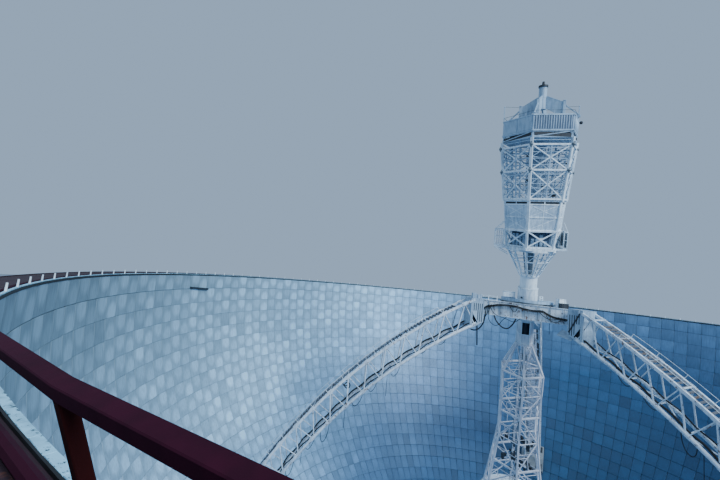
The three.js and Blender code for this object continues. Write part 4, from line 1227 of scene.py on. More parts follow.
@dataclass
class Leg:
    """One of the three arched legs: four chords, zigzag webs, treads, a handrail wire, cables and loops."""

    side: str
    upper: Arch = field(default_factory=lambda: Arch(-13.34, -32.18, 36.96, 28.0, 65.9))
    lower: Arch = field(default_factory=lambda: Arch(-12.63, -32.02, 34.92, 28.3, 66.2))
    width: float = 1.45
    chord: float = 0.17
    lower_chord: float = 0.21
    web: float = 0.09
    thin_web: float = 0.06
    panels: int = 15
    segments: int = 30
    treads: int = 84
    way: tuple[float, float] = (0.06, 0.97)
    node_plate: tuple[float, float, float] = (0.38, 0.02, 0.26)
    pad: tuple[float, float, float] = (2.3, 0.96, 2.7)
    pad_radius: float = 26.88
    plate_radius: float = 26.385
    stanchion: float = 0.35
    depression: float = 41.9

    def build(self) -> None:
        """Build the truss and what hangs on it."""
        self._truss()
        self._treads()
        self._wire()
        self._cables()
        self._foot()

    def _finish(self, piece: Piece, finish: Finish, *nodes: str) -> None:
        """Turn a piece drawn along +X onto the leg's bearing and finish it."""
        piece.turned(along_bearing(LEG_BEARINGS[self.side]))
        piece.finish("structure", finish, *nodes)

    def _truss(self) -> None:
        """Weld chords, webs, rungs and node plates."""
        truss = Piece(f"leg_lattice_{self.side}")
        half = self.width / 2
        shares = steps_between(0.0, 1.0, self.segments)
        for offset in (-half, half):
            truss.run([self.upper.at(share, offset) for share in shares], self.chord, Stock.BOX)
            truss.run([self.lower.at(share, offset) for share in shares], self.lower_chord)
            for i in range(self.panels):
                low, high, low_end = ((i + part) / self.panels for part in (0.04, 0.5, 0.96))
                truss.rod(self.lower.at(low, offset), self.upper.at(high, offset), self.thin_web)
                truss.rod(self.upper.at(high, offset), self.lower.at(low_end, offset), self.web)
                for arch, share in ((self.upper, high), (self.lower, low)):
                    plate = Matrix.Translation(arch.at(share, offset)) @ turn(arch.angle(share), "Y")
                    truss.slab(self.node_plate, plate, bevel=FINE_BEVEL)
        for i in range(self.panels):
            high, low = (i + 0.5) / self.panels, i / self.panels
            truss.strut(self.upper.at(high, -half), self.upper.at(high, half), self.web)
            truss.rod(self.lower.at(low, -half), self.lower.at(low, half), self.web)
            zig = half if i % 2 else -half
            truss.strut(self.lower.at(low, zig), self.lower.at((i + 1) / self.panels, -zig), self.thin_web)
        self._finish(truss, Finishes.STAINED, f"leg_{self.side}")

    def _treads(self) -> None:
        """Lay the rusting treads of the ladder way between the upper chords."""
        treads = Piece(f"leg_treads_{self.side}")
        reach = self.width / 2 - self.chord / 2
        for share in steps_between(*self.way, self.treads):
            ends = (self.upper.at(share, offset, 0.02) for offset in (-reach, reach))
            treads.strut(*ends, 0.04, 0.12)
        for offset in (-0.3, 0.3):
            line = steps_between(*self.way, 30)
            treads.run([self.upper.at(share, offset * self.width, -0.04) for share in line], 0.05, Stock.BOX)
        self._finish(treads, Finishes.PALE if self.side == "back" else Finishes.RUST)

    def _wire(self) -> None:
        """Stretch the handrail wires on their stanchions over both upper chords."""
        wires = Piece(f"leg_handrail_{self.side}")
        stops = steps_between(0.1, 0.97, 2 * self.panels)
        for offset in (-self.width / 2, self.width / 2):
            for share in stops[::2]:
                wires.strut(self.upper.at(share, offset), self.upper.at(share, offset, self.stanchion), 0.03)
            wires.run([self.upper.at(share, offset, self.stanchion) for share in stops], 0.02)
        self._finish(wires, Finishes.WHITE)

    def _cables(self) -> None:
        """Run the cables over the lower chord, with their loops, hung rods and coils."""
        chance = Random(len(self.side))
        cables = Piece(f"leg_cables_{self.side}")
        half = self.width / 2
        for offset, size in ((-0.82, 0.05), (-0.68, 0.035), (0.8, 0.04)):
            shares = steps_between(0.0, 0.97, 60)
            line = [self.lower.at(s, offset * half, 0.15 + 0.04 * math.sin(90 * s)) for s in shares]
            cables.cable(line, size)
        for share in (0.1, 0.165, 0.27, 0.36, 0.42, 0.55, 0.62, 0.7):
            span, drop = chance.uniform(0.016, 0.026), chance.uniform(0.6, 1.1)
            offset = chance.choice((-0.9, -0.5, 0.9)) * half
            angles = steps_between(-math.pi / 2, math.pi / 2, 10)
            dips = [-UP * drop * max(math.cos(a), 0.0) ** 0.8 for a in angles]
            hung = [self.lower.at(share + span * math.sin(a), offset) for a in angles]
            cables.cable([point + dip for point, dip in zip(hung, dips)], 0.02)
        for share in (0.3, 0.47, 0.66):
            top = self.lower.at(share, -half)
            cables.rod(top, top - UP * chance.uniform(1.2, 2.2), 0.03)
        for share, radius in ((0.44, 0.2), (0.83, 0.17)):
            for drop in (0.7, 0.9):
                middle = self.lower.at(share, -half, drop)
                cables.cable([middle + Vector((y, 0.0, x)) for x, y in circle(12, radius)], 0.04, True)
        self._finish(cables, Finishes.RUBBER)

    def _foot(self) -> None:
        """Stand the leg on its concrete pad with base plates and anchor bolts."""
        bearing = LEG_BEARINGS[self.side]
        pad, plates = Piece(f"leg_pad_{self.side}"), Piece(f"leg_base_plates_{self.side}")
        pad.slab(self.pad, facing_in(self.pad_radius, bearing, self.depression), bevel=0.05)
        pad.finish("structure", Finishes.CONCRETE, f"leg_foot_{self.side}")
        frame = facing_in(self.plate_radius, bearing, self.depression)
        for x in (-0.72, 0.72):
            for z in (-0.92, 0.92):
                plates.slab((0.6, 0.05, 0.6), frame @ shift(x, 0.0, z))
                for bolt in (Vector((x + dx, 0.0, z + dz)) for dx in (-0.23, 0.23) for dz in (-0.23, 0.23)):
                    plates.rod(frame @ bolt, frame @ (bolt + Vector((0.0, -0.09, 0.0))), 0.07)
        plates.finish("structure", Finishes.DARK)


@dataclass
class LegHead:
    """The box at a leg's top: deeper outwards, with ribbed sides and a triangular opening, a dark block
    inside painting its shade.
    """

    side: str
    inner: float = 3.4
    outer: float = 4.3
    width: float = 1.6
    top: float = 0.55
    inner_bottom: float = -1.08
    outer_bottom: float = -1.65
    wall: float = 0.04
    opening: Pairs = ((4.2, -0.45), (4.2, -1.4), (3.75, -1.15))

    def build(self) -> None:
        """Weld the plates of the box."""
        bearing = along_bearing(LEG_BEARINGS[self.side])
        head, inside = Piece(f"leg_head_box_{self.side}"), Piece(f"leg_head_inside_{self.side}")
        x, length = (self.inner + self.outer) / 2, self.outer - self.inner
        head.slab((length, self.width, self.wall), Vector((x, 0.0, self.top - self.wall / 2)))
        for end, low, step in ((self.inner, self.inner_bottom, 1), (self.outer, self.outer_bottom, -1)):
            middle = Vector((end + step * self.wall / 2, 0.0, (self.top + low) / 2))
            head.slab((self.wall, self.width * 0.97, self.top - low), middle)
        fall = self.outer_bottom - self.inner_bottom
        slope = turn(-math.degrees(math.atan2(fall, length)), "Y")
        under = shift(x, 0.0, (self.inner_bottom + self.outer_bottom) / 2) @ slope
        head.slab((math.hypot(fall, length), self.width, self.wall), under @ shift(0.0, 0.0, self.wall / 2))
        for across in (-1, 1):
            self._side(head, inside, across)
        if self.side == "left":
            for at, size, tall in ((3.75, 0.22, 0.26), (4.05, 0.3, 0.36), (3.55, 0.1, 0.32)):
                head.slab((size, size, tall), Vector((at, 0.55, self.top + tall / 2)))
        else:
            inside.strut(Vector((3.5, -0.84, -0.9)), Vector((4.15, -0.84, 0.35)), 0.06)
            head.slab((0.95, 0.6, 0.05), shift(3.2, -0.5, -1.15) @ turn(12.0, "Y") @ turn(40.0, "X"))
        head.turned(bearing)
        head.finish("structure", Finishes.GRIME_AND_SHADE, f"leg_head_{self.side}")
        # A dark block, a little smaller than the box, fills it to paint the shade seen through the opening.
        core = [(self.inner, self.inner_bottom), (self.outer, self.outer_bottom), (self.outer, self.top)]
        core = [(x + 0.92 * (px - x), 0.92 * (pz + 0.5) - 0.5) for px, pz in [*core, (self.inner, self.top)]]
        inside.add(WORKSHOP.extrusion(core, self.width * 0.8), UPRIGHT)
        inside.turned(bearing)
        inside.finish("structure", Finishes.DARK)

    def _side(self, head: Piece, dark: Piece, across: int) -> None:
        """Add one side: three plates that leave the triangle open, ribs, slots, edge bars and bolts.

        Args:
            head: The piece that it joins.
            dark: The piece for the slots.
            across: -1 or 1, the side.
        """
        tip, heel, toe = self.opening
        low, deep = (self.inner, self.inner_bottom), (self.outer, self.outer_bottom)
        over, corner = (self.outer, self.top), (self.inner, self.top)
        face = shift(0.0, across * (self.width - self.wall) / 2, 0.0) @ UPRIGHT
        for outline in ([low, toe, tip, over, corner], [tip, heel, deep, over], [low, deep, heel, toe]):
            head.add(WORKSHOP.extrusion(outline, self.wall), face)
        y = across * self.width / 2
        head.run([Vector((px, y, pz)) for px, pz in self.opening], 0.05, Stock.BOX, loop=True)
        for px in (3.46, 3.6, 3.74, 3.88, 4.02, 4.16):
            foot = self.inner_bottom if px < 3.8 else tip[1] + 0.12
            head.strut(Vector((px, y, foot)), Vector((px, y, self.top - 0.05)), 0.035)
            head.ball(Vector((px + 0.05, y, self.top - 0.1)), 0.025)
            if px < 4.1:
                end = self.top - 0.35
                dark.slab((0.05, 0.012, end - foot), Vector((px + 0.07, y, (end + foot) / 2)), bevel=0.002)


@dataclass
class HubGirder:
    """The three-sided box girder between the leg heads, with the race, cables and fittings on it."""

    inner: float = 1.23
    outer: float = 1.77
    top: float = 0.5
    bottom: float = -0.55
    plate: float = 0.04
    recess: float = 0.05
    race_bolts: int = 48
    cable_face: float = 1.86
    cable: Pairs = (
        (-3.1, -0.42), (-2.72, -0.25), (-2.5, 0.0), (-2.15, 0.13), (-1.5, 0.26), (-0.6, 0.28), (0.1, 0.16),
        (0.6, 0.13), (1.1, 0.16), (1.55, -0.05), (1.95, -0.16), (2.5, -0.2), (3.1, -0.24),
    )
    thick: tuple[Pairs, ...] = (
        ((-1.92, -0.52), (-1.69, -0.97), (-1.08, -1.33), (-0.71, -1.03), (-0.48, -0.58)),
        ((-3.81, -1.52), (-3.22, -1.79), (-2.69, -1.34), (-2.5, -0.5)),
        ((-3.06, -1.04), (-3.0, -1.9), (-2.95, -2.81)),
    )
    thin: tuple[Pairs, ...] = (
        ((-3.3, -0.1), (-3.05, -0.8), (-2.75, -1.1), (-2.5, -0.3)),
        ((-3.2, 0.2), (-3.3, -0.5), (-2.95, -1.3), (-2.6, -0.9), (-2.45, 0.1)),
        ((-2.9, 0.3), (-2.75, -0.6), (-3.1, -1.2), (-3.4, -1.5), (-3.7, -1.3)),
        ((-2.7, 0.35), (-2.85, -0.3), (-2.6, -0.75), (-2.35, -0.2), (-2.3, 0.2)),
        ((-2.2, 0.05), (-1.9, -0.4), (-1.2, -0.62), (-0.55, -0.78), (-0.2, -0.5)),
        ((-2.15, 0.1), (-2.3, -0.45), (-2.1, -1.05), (-1.7, -1.2), (-1.3, -0.75), (-1.05, -0.5)),
        ((-0.9, 0.25), (-0.6, -0.1), (-0.4, 0.2)),
        ((0.9, 0.12), (1.3, -0.22), (1.75, -0.3), (2.1, -0.1)),
        ((1.25, 0.1), (1.55, -0.35), (2.0, -0.42), (2.25, -0.2)),
    )

    def build(self) -> None:
        """Build the girder and what is on it."""
        box, seams = Piece("girder_box"), Piece("girder_seams")
        back, foot, head = self.outer - self.recess, self.bottom + 0.01, self.top - 0.01
        rings = (
            (self.inner, self.outer, self.top - self.plate, self.top),
            (self.inner, self.outer, self.bottom, self.bottom + self.plate),
            (back - self.plate, back, foot, head),
            (self.inner + 0.01, self.inner + self.plate, foot, head),
        )
        for inner, outer, low, high in rings:
            box.ring(2 * inner, 2 * outer, low, high, 3, LEG_BEARINGS["left"])
        tall = self.top - self.bottom - 2 * self.plate
        middle = (self.top + self.bottom) / 2
        for bearing in GIRDER_BEARINGS.values():
            face = square_to(bearing, self.outer - self.recess / 2, middle)
            for along in steps_between(-2.32, 2.32, 6):
                box.slab((0.03, self.recess, tall), face @ shift(along, 0.0, 0.0), bevel=FINE_BEVEL)
                seam = face @ shift(along + 0.035, 0.01, 0.0)
                seams.slab((0.028, self.recess * 0.7, tall * 0.98), seam, bevel=FINE_BEVEL)
            for along in (-0.34, 1.2):
                box.slab((0.46, 0.02, 0.6), face @ shift(along, self.recess / 2, 0.0), bevel=0.005)
            for along in steps_between(-2.2, 2.2, 22):
                box.ball(face @ Vector((along, self.recess / 2, 0.42)), 0.018)
        box.finish("structure", Finishes.STAINED, "hub_girder")
        seams.finish("structure", Finishes.GREY)
        race = Piece("race_ring")
        race.ring(1.32, 1.74, self.top + 0.002, self.top + 0.095)
        race.ring(1.7, 1.77, self.top + 0.002, self.top + 0.03)
        for i in range(self.race_bolts):
            race.drum(on_bearing(1.755, i * 360.0 / self.race_bolts, self.top + 0.03), 0.018, 0.03, 6)
        race.finish("structure", Finishes.RACE, "slewing_race")
        self._cables()
        self._fittings()

    def _cables(self) -> None:
        """Drape the lead along the near side, with loops off it and clips that hold it."""
        near = turn(GIRDER_BEARINGS["front"])
        lead, loops, clips = Piece("girder_lead"), Piece("girder_loops"), Piece("girder_clips")
        lead.cable([near @ Vector((x, -self.cable_face, z)) for x, z in self.cable], 0.06)
        lead.finish("structure", Finishes.RUBBER, "girder_cable")
        hung = [(path, 0.05) for path in self.thick] + [(path, 0.022) for path in self.thin]
        for i, (path, size) in enumerate(hung):
            reach = self.cable_face + 0.04 + 0.015 * i
            loops.cable([near @ Vector((x, -reach, z)) for x, z in path], size)
        below = [near @ Vector((x, -self.cable_face - 0.07, z - 0.08)) for x, z in self.cable[2:-1]]
        loops.cable(below, 0.025)
        loops.finish("structure", Finishes.RUBBER)
        for x, z in self.cable[3:9]:
            clips.slab((0.04, 0.12, 0.15), near @ shift(x, -self.outer - 0.03, z))
        for x, drop in ((1.55, 1.3), (1.02, 0.95)):
            clips.rod(*(near @ Vector((x, -self.outer, z)) for z in (self.bottom, -drop)), 0.03)
        clips.finish("structure", Finishes.DARK)

    def _fittings(self) -> None:
        """Stand the cowl, the dark box and short posts on the girder's top."""
        place = turn(GIRDER_BEARINGS["right"] - 90.0)
        cowl, box, posts = Piece("cowl_hood"), Piece("drive_box"), Piece("girder_posts")
        spot = place @ shift(1.45, -1.8, self.top)
        side = 0.54 / math.sqrt(2)
        hood = Matrix.LocRotScale(UP * 0.28, turn(45.0).to_quaternion(), Vector((side, side, 0.56)))
        cowl.add(WORKSHOP.drum(4, 0.8), spot @ hood)
        cowl.slab((0.46, 0.46, 0.05), spot @ shift(0.0, 0.0, 0.575))
        cowl.slab((0.56, 0.56, 0.03), spot @ shift(0.0, 0.0, 0.016))
        for x in (-0.12, 0.0, 0.12):
            cowl.slab((0.03, 0.5, 0.2), spot @ shift(x, 0.0, 0.3), bevel=0.005)
        cowl.finish("structure", Finishes.WHITE, "vent_cowl")
        spot = place @ shift(1.33, -2.32, self.top)
        box.slab((0.48, 0.38, 0.3), spot @ shift(0.0, 0.0, 0.15))
        box.slab((0.5, 0.4, 0.03), spot @ shift(0.0, 0.0, 0.305))
        for x in (-0.14, 0.14):
            box.slab((0.04, 0.02, 0.22), spot @ shift(x, -0.195, 0.15), bevel=FINE_BEVEL)
        box.finish("structure", Finishes.DARK, "junction_box")
        near = turn(GIRDER_BEARINGS["front"])
        for x in (-2.88, -2.4, -1.82):
            posts.strut(*(near @ Vector((x, -1.6, z)) for z in (self.top, 0.86)), 0.045)
        posts.rod(*(near @ Vector((x, -1.6, 0.8)) for x in (-2.88, -1.82)), 0.025)
        posts.finish("structure", Finishes.WHITE)


@dataclass
class Yoke:
    """The ring that slews on the girder: bearing hangers, the drive cabinet and a small rail."""

    inner: float = 1.32
    outer: float = 1.74
    bottom: float = 0.602
    top: float = 0.76
    seat: float = 0.84
    hanger: tuple[float, float] = (0.78, 1.1)
    hanger_width: float = 0.5
    hanger_bottom: float = -0.3
    bolts: int = 36

    def build(self) -> None:
        """Build the turntable, its cabinet and its rail."""
        ring = Piece("yoke_ring")
        ring.ring(self.inner, self.outer, self.bottom, self.top)
        ring.ring(self.outer - 0.1, self.outer, self.top, self.top + 0.03)
        near, far = self.hanger
        middle = (near + far) / 2
        for side in (Matrix.Identity(4), turn(180.0)):
            tall = self.seat - self.hanger_bottom
            for y in (-1, 1):
                cheek = shift(middle, y * (self.hanger_width / 2 - 0.045), self.hanger_bottom + tall / 2)
                ring.slab((far - near, 0.09, tall), side @ cheek)
            for low, high in ((self.hanger_bottom, -0.17), (0.17, self.seat)):
                web = (far - near - 0.03, self.hanger_width - 0.16, high - low)
                ring.slab(web, side @ shift(middle, 0.0, (low + high) / 2))
            arm = (self.outer - near, 0.45, self.seat - self.top + 0.05)
            ring.slab(arm, side @ shift((self.outer + near) / 2, 0.0, self.seat - arm[2] / 2))
            keeper = side @ shift(far, 0.0, 0.0) @ turn(90.0, "Y")
            ring.add(WORKSHOP.lathe([(0.16, 0.0), (0.24, 0.0), (0.24, 0.04), (0.16, 0.04)], 32), keeper)
            for i in range(8):
                ring.ball(keeper @ on_bearing(0.2, 45.0 * i, 0.04), 0.018)
        for i in range(self.bolts):
            ring.drum(on_bearing(1.45, i * 360.0 / self.bolts, self.top), 0.022, 0.03, 6)
        ring.finish("yoke", Finishes.SHEET, "turntable")
        self._cabinet()
        self._rail()

    def _cabinet(self) -> None:
        """Build the drive cabinet: a sheet box with doors, vents and a drip roof."""
        low, high = self.seat + 0.002, 1.27
        size = Vector((0.8, 0.62, high - low - 0.04))
        middle = Vector((-1.23, 0.0, low + size.z / 2))
        cabinet = Piece("cabinet_body")
        cabinet.slab(size, middle)
        cabinet.slab((0.86, 0.7, 0.04), Vector((middle.x, 0.0, high - 0.02)))
        for y in (-1, 1):
            for x in (-0.2, 0.2):
                door = middle + Vector((x, y * (size.y / 2 + 0.004), 0.0))
                cabinet.slab((0.37, 0.02, size.z * 0.86), door, bevel=0.005)
                for lift in (0.02, 0.06, 0.1):
                    cabinet.slab((0.24, 0.03, 0.018), door + UP * lift, bevel=FINE_BEVEL)
            handle = middle + Vector((0.03, y * (size.y / 2 + 0.025), -0.05))
            cabinet.rod(handle - UP * 0.05, handle + UP * 0.05, 0.02)
        cabinet.finish("yoke", Finishes.WHITE, "drive_cabinet")

    def _rail(self) -> None:
        """Weld the small rail on the other side of the tube."""
        rail = Piece("yoke_rail")
        first, last, side, height = 0.845, 1.015, 0.145, 0.275
        for y in (-side, side):
            for x in (first, last):
                foot = Vector((x, y, self.seat + 0.004))
                rail.rod(foot, foot + UP * height, 0.05)
                rail.slab((0.08, 0.08, 0.015), foot, bevel=0.003)
            for lift in (height / 2, height):
                rail.rod(Vector((first, y, self.seat + lift)), Vector((last, y, self.seat + lift)), 0.04)
        rail.rod(Vector((last, -side, self.seat + height)), Vector((last, side, self.seat + height)), 0.04)
        rail.finish("yoke", Finishes.WHITE, "turntable_rail")


@dataclass
class Neck:
    """The tube's plain white neck through the ring, with trunnion pins, a hatch and the shaft below."""

    radius: float = 0.57
    collar: float = 0.66
    collar_top: float = 1.73
    top: float = 2.6
    bottom: float = -0.62
    shaft_radius: float = 0.58
    shaft_bottom: float = -2.42
    door: tuple[float, float] = (-1.7, -0.76)
    facets: int = 64
    rivets: int = 24

    def build(self) -> None:
        """Build the neck and the access shaft."""
        neck = Piece("neck_tube")
        neck.drum(UP * self.bottom, self.collar, self.collar_top - self.bottom, self.facets)
        neck.drum(UP * self.collar_top, self.radius, self.top - self.collar_top, self.facets)
        bands = ((self.bottom, 0.672), (1.2, 0.668), (self.collar_top - 0.05, 0.675), (2.55, 0.6))
        for height, reach in bands:
            neck.drum(UP * height, reach, 0.05, self.facets)
        for side in (-1, 1):
            pin, boss, end = (Vector((side * reach, 0.0, 0.0)) for reach in (0.58, 0.73, 1.06))
            neck.rod(pin, end, 0.29)
            neck.rod(pin, boss, 0.5)
        for i in range(self.rivets):
            neck.ball(on_bearing(0.665, i * 360.0 / self.rivets, self.collar_top - 0.08), 0.015)
        neck.finish("tube", Finishes.WHITE, "tube_neck")
        hatch = Piece("neck_hatch")
        hatch.slab((0.15, 0.03, 0.12), square_to(-40.0, self.collar, 1.05))
        hatch.finish("tube", Finishes.DARK)
        self._shaft()

    def _shaft(self) -> None:
        """Panel the six-sided shaft under the neck, open in a doorway on the near side, a dark drum inside
        painting its shade.
        """
        shaft, posts, doorway = Piece("access_shaft"), Piece("shaft_posts"), Piece("shaft_shade_drum")
        top, turned = self.bottom - 0.002, 30.0
        radius = self.shaft_radius - 0.03
        feet = hexagon(radius, self.shaft_bottom, turned)
        for foot in feet:
            posts.strut(foot, foot + UP * (top - self.shaft_bottom), 0.07)
        low, high = self.door
        for height in (self.shaft_bottom + 0.04, low, high, top - 0.04):
            posts.run([foot + UP * (height - self.shaft_bottom) for foot in feet], 0.06, Stock.BOX, loop=True)
        for i in range(6):
            spans = [(self.shaft_bottom, low), (high, top)] + ([(low, high)] if i else [])
            for start, end in spans:
                place = square_to(60.0 * i, radius * HEX_INRADIUS, (start + end) / 2)
                shaft.slab((0.46, 0.025, end - start - 0.06), place, 0.3, 0.006)
        shaft.finish("tube", Finishes.PALE, "access_neck")
        # A dark drum fills the shaft to paint the shade seen through the doorway.
        doorway.drum(UP * (self.shaft_bottom + 0.1), 0.4, top - self.shaft_bottom - 0.2, 6)
        doorway.finish("tube", Finishes.DARK)
        posts.finish("tube", Finishes.WHITE)


@dataclass
class Cone:
    """The funnel of rods between the neck and the instrument tower."""

    bottom: float = 2.602
    top: float = 4.6
    hoop: float = 3.72
    bottom_radius: float = 0.6
    top_radius: float = 1.62
    rods: int = 12
    disc: float = 0.12

    def _around(self, height: float) -> list[Vector]:
        """Where the rods pass a height."""
        share = (height - self.bottom) / (self.top - self.bottom)
        radius = self.bottom_radius + (self.top_radius - self.bottom_radius) * share
        return [on_bearing(radius, TOWER_TURN + 360.0 * i / self.rods, height) for i in range(self.rods)]

    def build(self) -> None:
        """Weld the funnel."""
        cone, duct = Piece("cone_rods"), Piece("cone_duct")
        cone.drum(UP * self.bottom, self.bottom_radius + 0.055, self.disc, 48)
        cone.drum(UP * (self.top - self.disc), self.top_radius + 0.055, self.disc, 12)
        feet, heads = self._around(self.bottom + self.disc / 2), self._around(self.top - self.disc / 2)
        for foot, head in zip(feet, heads):
            cone.rod(foot, head, 0.11)
        for height, size in ((self.hoop, 0.08), (3.1, 0.04), (4.2, 0.04)):
            cone.run(self._around(height), size, loop=True)
        low, high = self._around(self.hoop), self._around(4.4)
        for i in range(0, self.rods, 2):
            cone.rod(low[i], high[i + 1], 0.045)
        cone.finish("tube", Finishes.WHITE, "cone_frame")
        duct.drum(UP * self.bottom, 0.2, self.top - self.bottom, 16)
        for i, reach in enumerate((0.32, 0.36, 0.3)):
            start = on_bearing(reach, 40.0 + 130.0 * i, self.bottom)
            duct.rod(start, on_bearing(reach * 2.4, 50.0 + 130.0 * i, self.top - 0.05), 0.05)
        duct.finish("tube", Finishes.GREY)


@dataclass
class Deck:
    """The plated deck over the funnel and its two balconies."""

    radius: float = 1.86
    bottom: float = 4.602
    top: float = 4.76
    left: float = -2.49
    right: float = 2.12
    width: float = 1.45
    rail_height: float = 1.15
    bar: float = 0.06
    inner_end: float = 1.88

    def build(self) -> None:
        """Build the deck, then rail the balconies and stay them to the cabin."""
        deck = Piece("deck_plates")
        deck.ring(0.0, self.radius, self.bottom, self.top, 6, TOWER_TURN)
        wings = (self.right - self.left, self.width, self.top - self.bottom - 0.02)
        deck.slab(wings, Vector(((self.left + self.right) / 2, 0.0, (self.top + self.bottom) / 2)))
        for x in steps_between(self.left + 0.06, self.left + 0.54, 4):
            deck.slab((0.03, self.width * 0.96, 0.02), Vector((x, 0.0, self.top - 0.008)), bevel=FINE_BEVEL)
        for y in (-0.5, 0.5):
            edge = Vector((self.left + 0.1, y * self.width, self.bottom + 0.02))
            deck.strut(edge, Vector((self.left * 0.62, y * self.width * 0.8, 4.15)), 0.045)
        deck.finish("tube", Finishes.WHITE, "tower_deck")
        self._balcony("left", self.left, 1)
        self._balcony("right", self.right, -1)

    def _balcony(self, name: str, edge: float, inward: int) -> None:
        """Rail a balcony.

        Args:
            name: Which side it is on.
            edge: Its outer edge, along X.
            inward: 1 or -1, the direction of the tower.
        """
        outer, inner = edge + inward * self.bar / 2, -inward * self.inner_end
        side = self.width / 2 - self.bar / 2
        seat = self.top - 0.02
        frame, bars = Piece(f"balcony_frame_{name}"), Piece(f"balcony_bars_{name}")
        plan = ((inner, -side), (outer, -side), (outer, side), (inner, side))
        corners = [Vector((x, y, seat)) for x, y in plan]
        for foot in corners:
            frame.strut(foot, foot + UP * self.rail_height, self.bar)
        for start, end in zip(corners, corners[1:]):
            for height in (0.08, 0.62, self.rail_height):
                frame.strut(start + UP * height, end + UP * height, self.bar * (0.6 if height < 1.0 else 1.0))
            count = max(round((end - start).length / 0.14), 3)
            for share in steps_between(0.0, 1.0, count)[1:-1]:
                foot = start.lerp(end, share)
                bars.strut(foot + UP * 0.08, foot + UP * self.rail_height, 0.03)
        if name == "right":
            for y in (-side, side):
                middle = Vector(((inner + outer) / 2, y * 0.96, seat + 0.58))
                bars.slab((abs(outer - inner) - 0.08, 0.02, 0.9), middle)
            bars.slab((0.02, 2 * side - 0.1, 0.9), Vector((outer - 0.05, 0.0, seat + 0.58)))
        for y in (-side, side):
            head = Vector((outer, y, seat + self.rail_height))
            frame.rod(head, Vector((inner * 0.98, y * 0.8, seat + 1.8)), 0.035)
        frame.finish("tube", Finishes.WHITE, f"balcony_rail_{name}")
        bars.finish("tube", Finishes.PALE if name == "left" else Finishes.GREY)


@dataclass
class Bay:
    """The cross-braced bay over the deck, lined with blue-grey panels and cabinets behind the bracing."""

    bottom: float = 4.762
    top: float = 6.0
    bottom_radius: float = 1.7
    top_radius: float = 1.86
    core_radius: float = 1.36

    def build(self) -> None:
        """Weld the bay and line it."""
        bay, lining, racks = Piece("bay_lattice"), Piece("bay_lining"), Piece("bay_racks")
        low = hexagon(self.bottom_radius, self.bottom + 0.06)
        high = hexagon(self.top_radius, self.top - 0.06)
        inset = self.core_radius * HEX_INRADIUS
        chance = Random(3)
        for i, ((a, b), (c, d)) in enumerate(zip(sides_of(low), sides_of(high))):
            bearing = tower_side(i)
            bay.strut(a - UP * 0.05, c + UP * 0.05, 0.15)
            for start, end, size in ((a, b, 0.11), (c, d, 0.12), (a, d, 0.09), (b, c, 0.09)):
                bay.strut(start, end, size)
            bay.slab((0.18, 0.03, 0.18), Matrix.Translation((a + b + c + d) / 4) @ turn(bearing))
            sheet = (self.core_radius, 0.04, self.top - self.bottom - 0.04)
            lining.slab(sheet, square_to(bearing, inset, (self.top + self.bottom) / 2))
            for x in (-0.42, -0.14, 0.14, 0.42):
                tall = chance.choice((0.5, 0.65, 0.8, 0.95))
                place = square_to(bearing, inset + 0.07, self.bottom + tall / 2) @ shift(x, 0.0, 0.0)
                racks.slab((0.2, 0.12, tall), place, chance.random())
        bay.finish("tube", Finishes.WHITE, "bay_frame")
        lining.finish("tube", Finishes.LINING, "bay_core")
        racks.finish("tube", Finishes.SHEET)


@dataclass
class Cabin:
    """The panelled cabin: two rows of sheet panels with pressed diagonals, corner posts and dark slots."""

    bottom: float = 6.002
    top: float = 7.97
    bottom_radius: float = 1.88
    top_radius: float = 2.07
    rows: tuple[float, ...] = (0.0, 0.44, 0.88)

    def _corners(self, share: float, shrink: float = 0.0) -> list[Vector]:
        """Corners at a share of the height, drawn in by a length."""
        radius = self.bottom_radius + (self.top_radius - self.bottom_radius) * share
        return hexagon(radius - shrink, self.bottom + (self.top - self.bottom) * share)

    def build(self) -> None:
        """Panel the cabin."""
        skin, frame, slots = Piece("cabin_panels"), Piece("cabin_frame"), Piece("cabin_slots")
        chance = Random(11)
        for row, (low, high) in enumerate(zip(self.rows, self.rows[1:])):
            walls = zip(sides_of(self._corners(low, 0.06)), sides_of(self._corners(high, 0.06)))
            for i, ((a, b), (c, d)) in enumerate(walls):
                for start in (0.0, 0.5):
                    ends = [p.lerp(q, share) for p, q in ((a, b), (c, d)) for share in (start, start + 0.5)]
                    self._panel(skin, ends, chance.random())
                frame.strut(a, b, 0.09)
                frame.strut(a, d, 0.05)
                if row or i % 2:
                    frame.strut(b, c, 0.05)
        feet, heads = self._corners(0.0, 0.07), self._corners(1.0, 0.07)
        sills = self._corners(self.rows[-1], 0.06)
        for i, ((a, b), (c, d), (e, f)) in enumerate(zip(sides_of(feet), sides_of(heads), sides_of(sills))):
            frame.strut(a, c, 0.17)
            frame.strut(c, d, 0.08)
            frame.strut(e, f, 0.09)
            frame.strut((a + b) / 2, (c + d) / 2, 0.07)
            wall = ((c + d) / 2).to_2d().length
            place = square_to(tower_side(i), wall - 0.01, (e.z + c.z) / 2 + 0.01)
            slots.slab((c - d).length * 0.96 * Vector((1.0, 0.0, 0.0)) + Vector((0.0, 0.05, 0.15)), place)
        skin.ring(0.0, self.top_radius - 0.03, self.top - 0.05, self.top, 6, TOWER_TURN)
        skin.finish("tube", Finishes.PANELLING, "cabin")
        frame.finish("tube", Finishes.WHITE)
        slots.finish("tube", Finishes.DARK)

    @staticmethod
    def _panel(skin: Piece, corners: Sequence[Vector], tint: float) -> None:
        """Hang one sheet panel between four corners, a seam short of them.

        Args:
            skin: The piece that it joins.
            corners: Lower start, lower end, upper start and upper end.
            tint: Its shade.
        """
        a, b, c, d = corners
        along, rise = (b - a + d - c) / 2, (c - a + d - b) / 2
        size = (round(along.length - 0.03, 3), 0.03, round(rise.length - 0.03, 3))
        x, z = along.normalized(), rise.normalized()
        facing = Matrix((x, z.cross(x), z)).transposed().to_4x4()
        skin.slab(size, Matrix.Translation((a + b + c + d) / 4) @ facing, tint, 0.008)


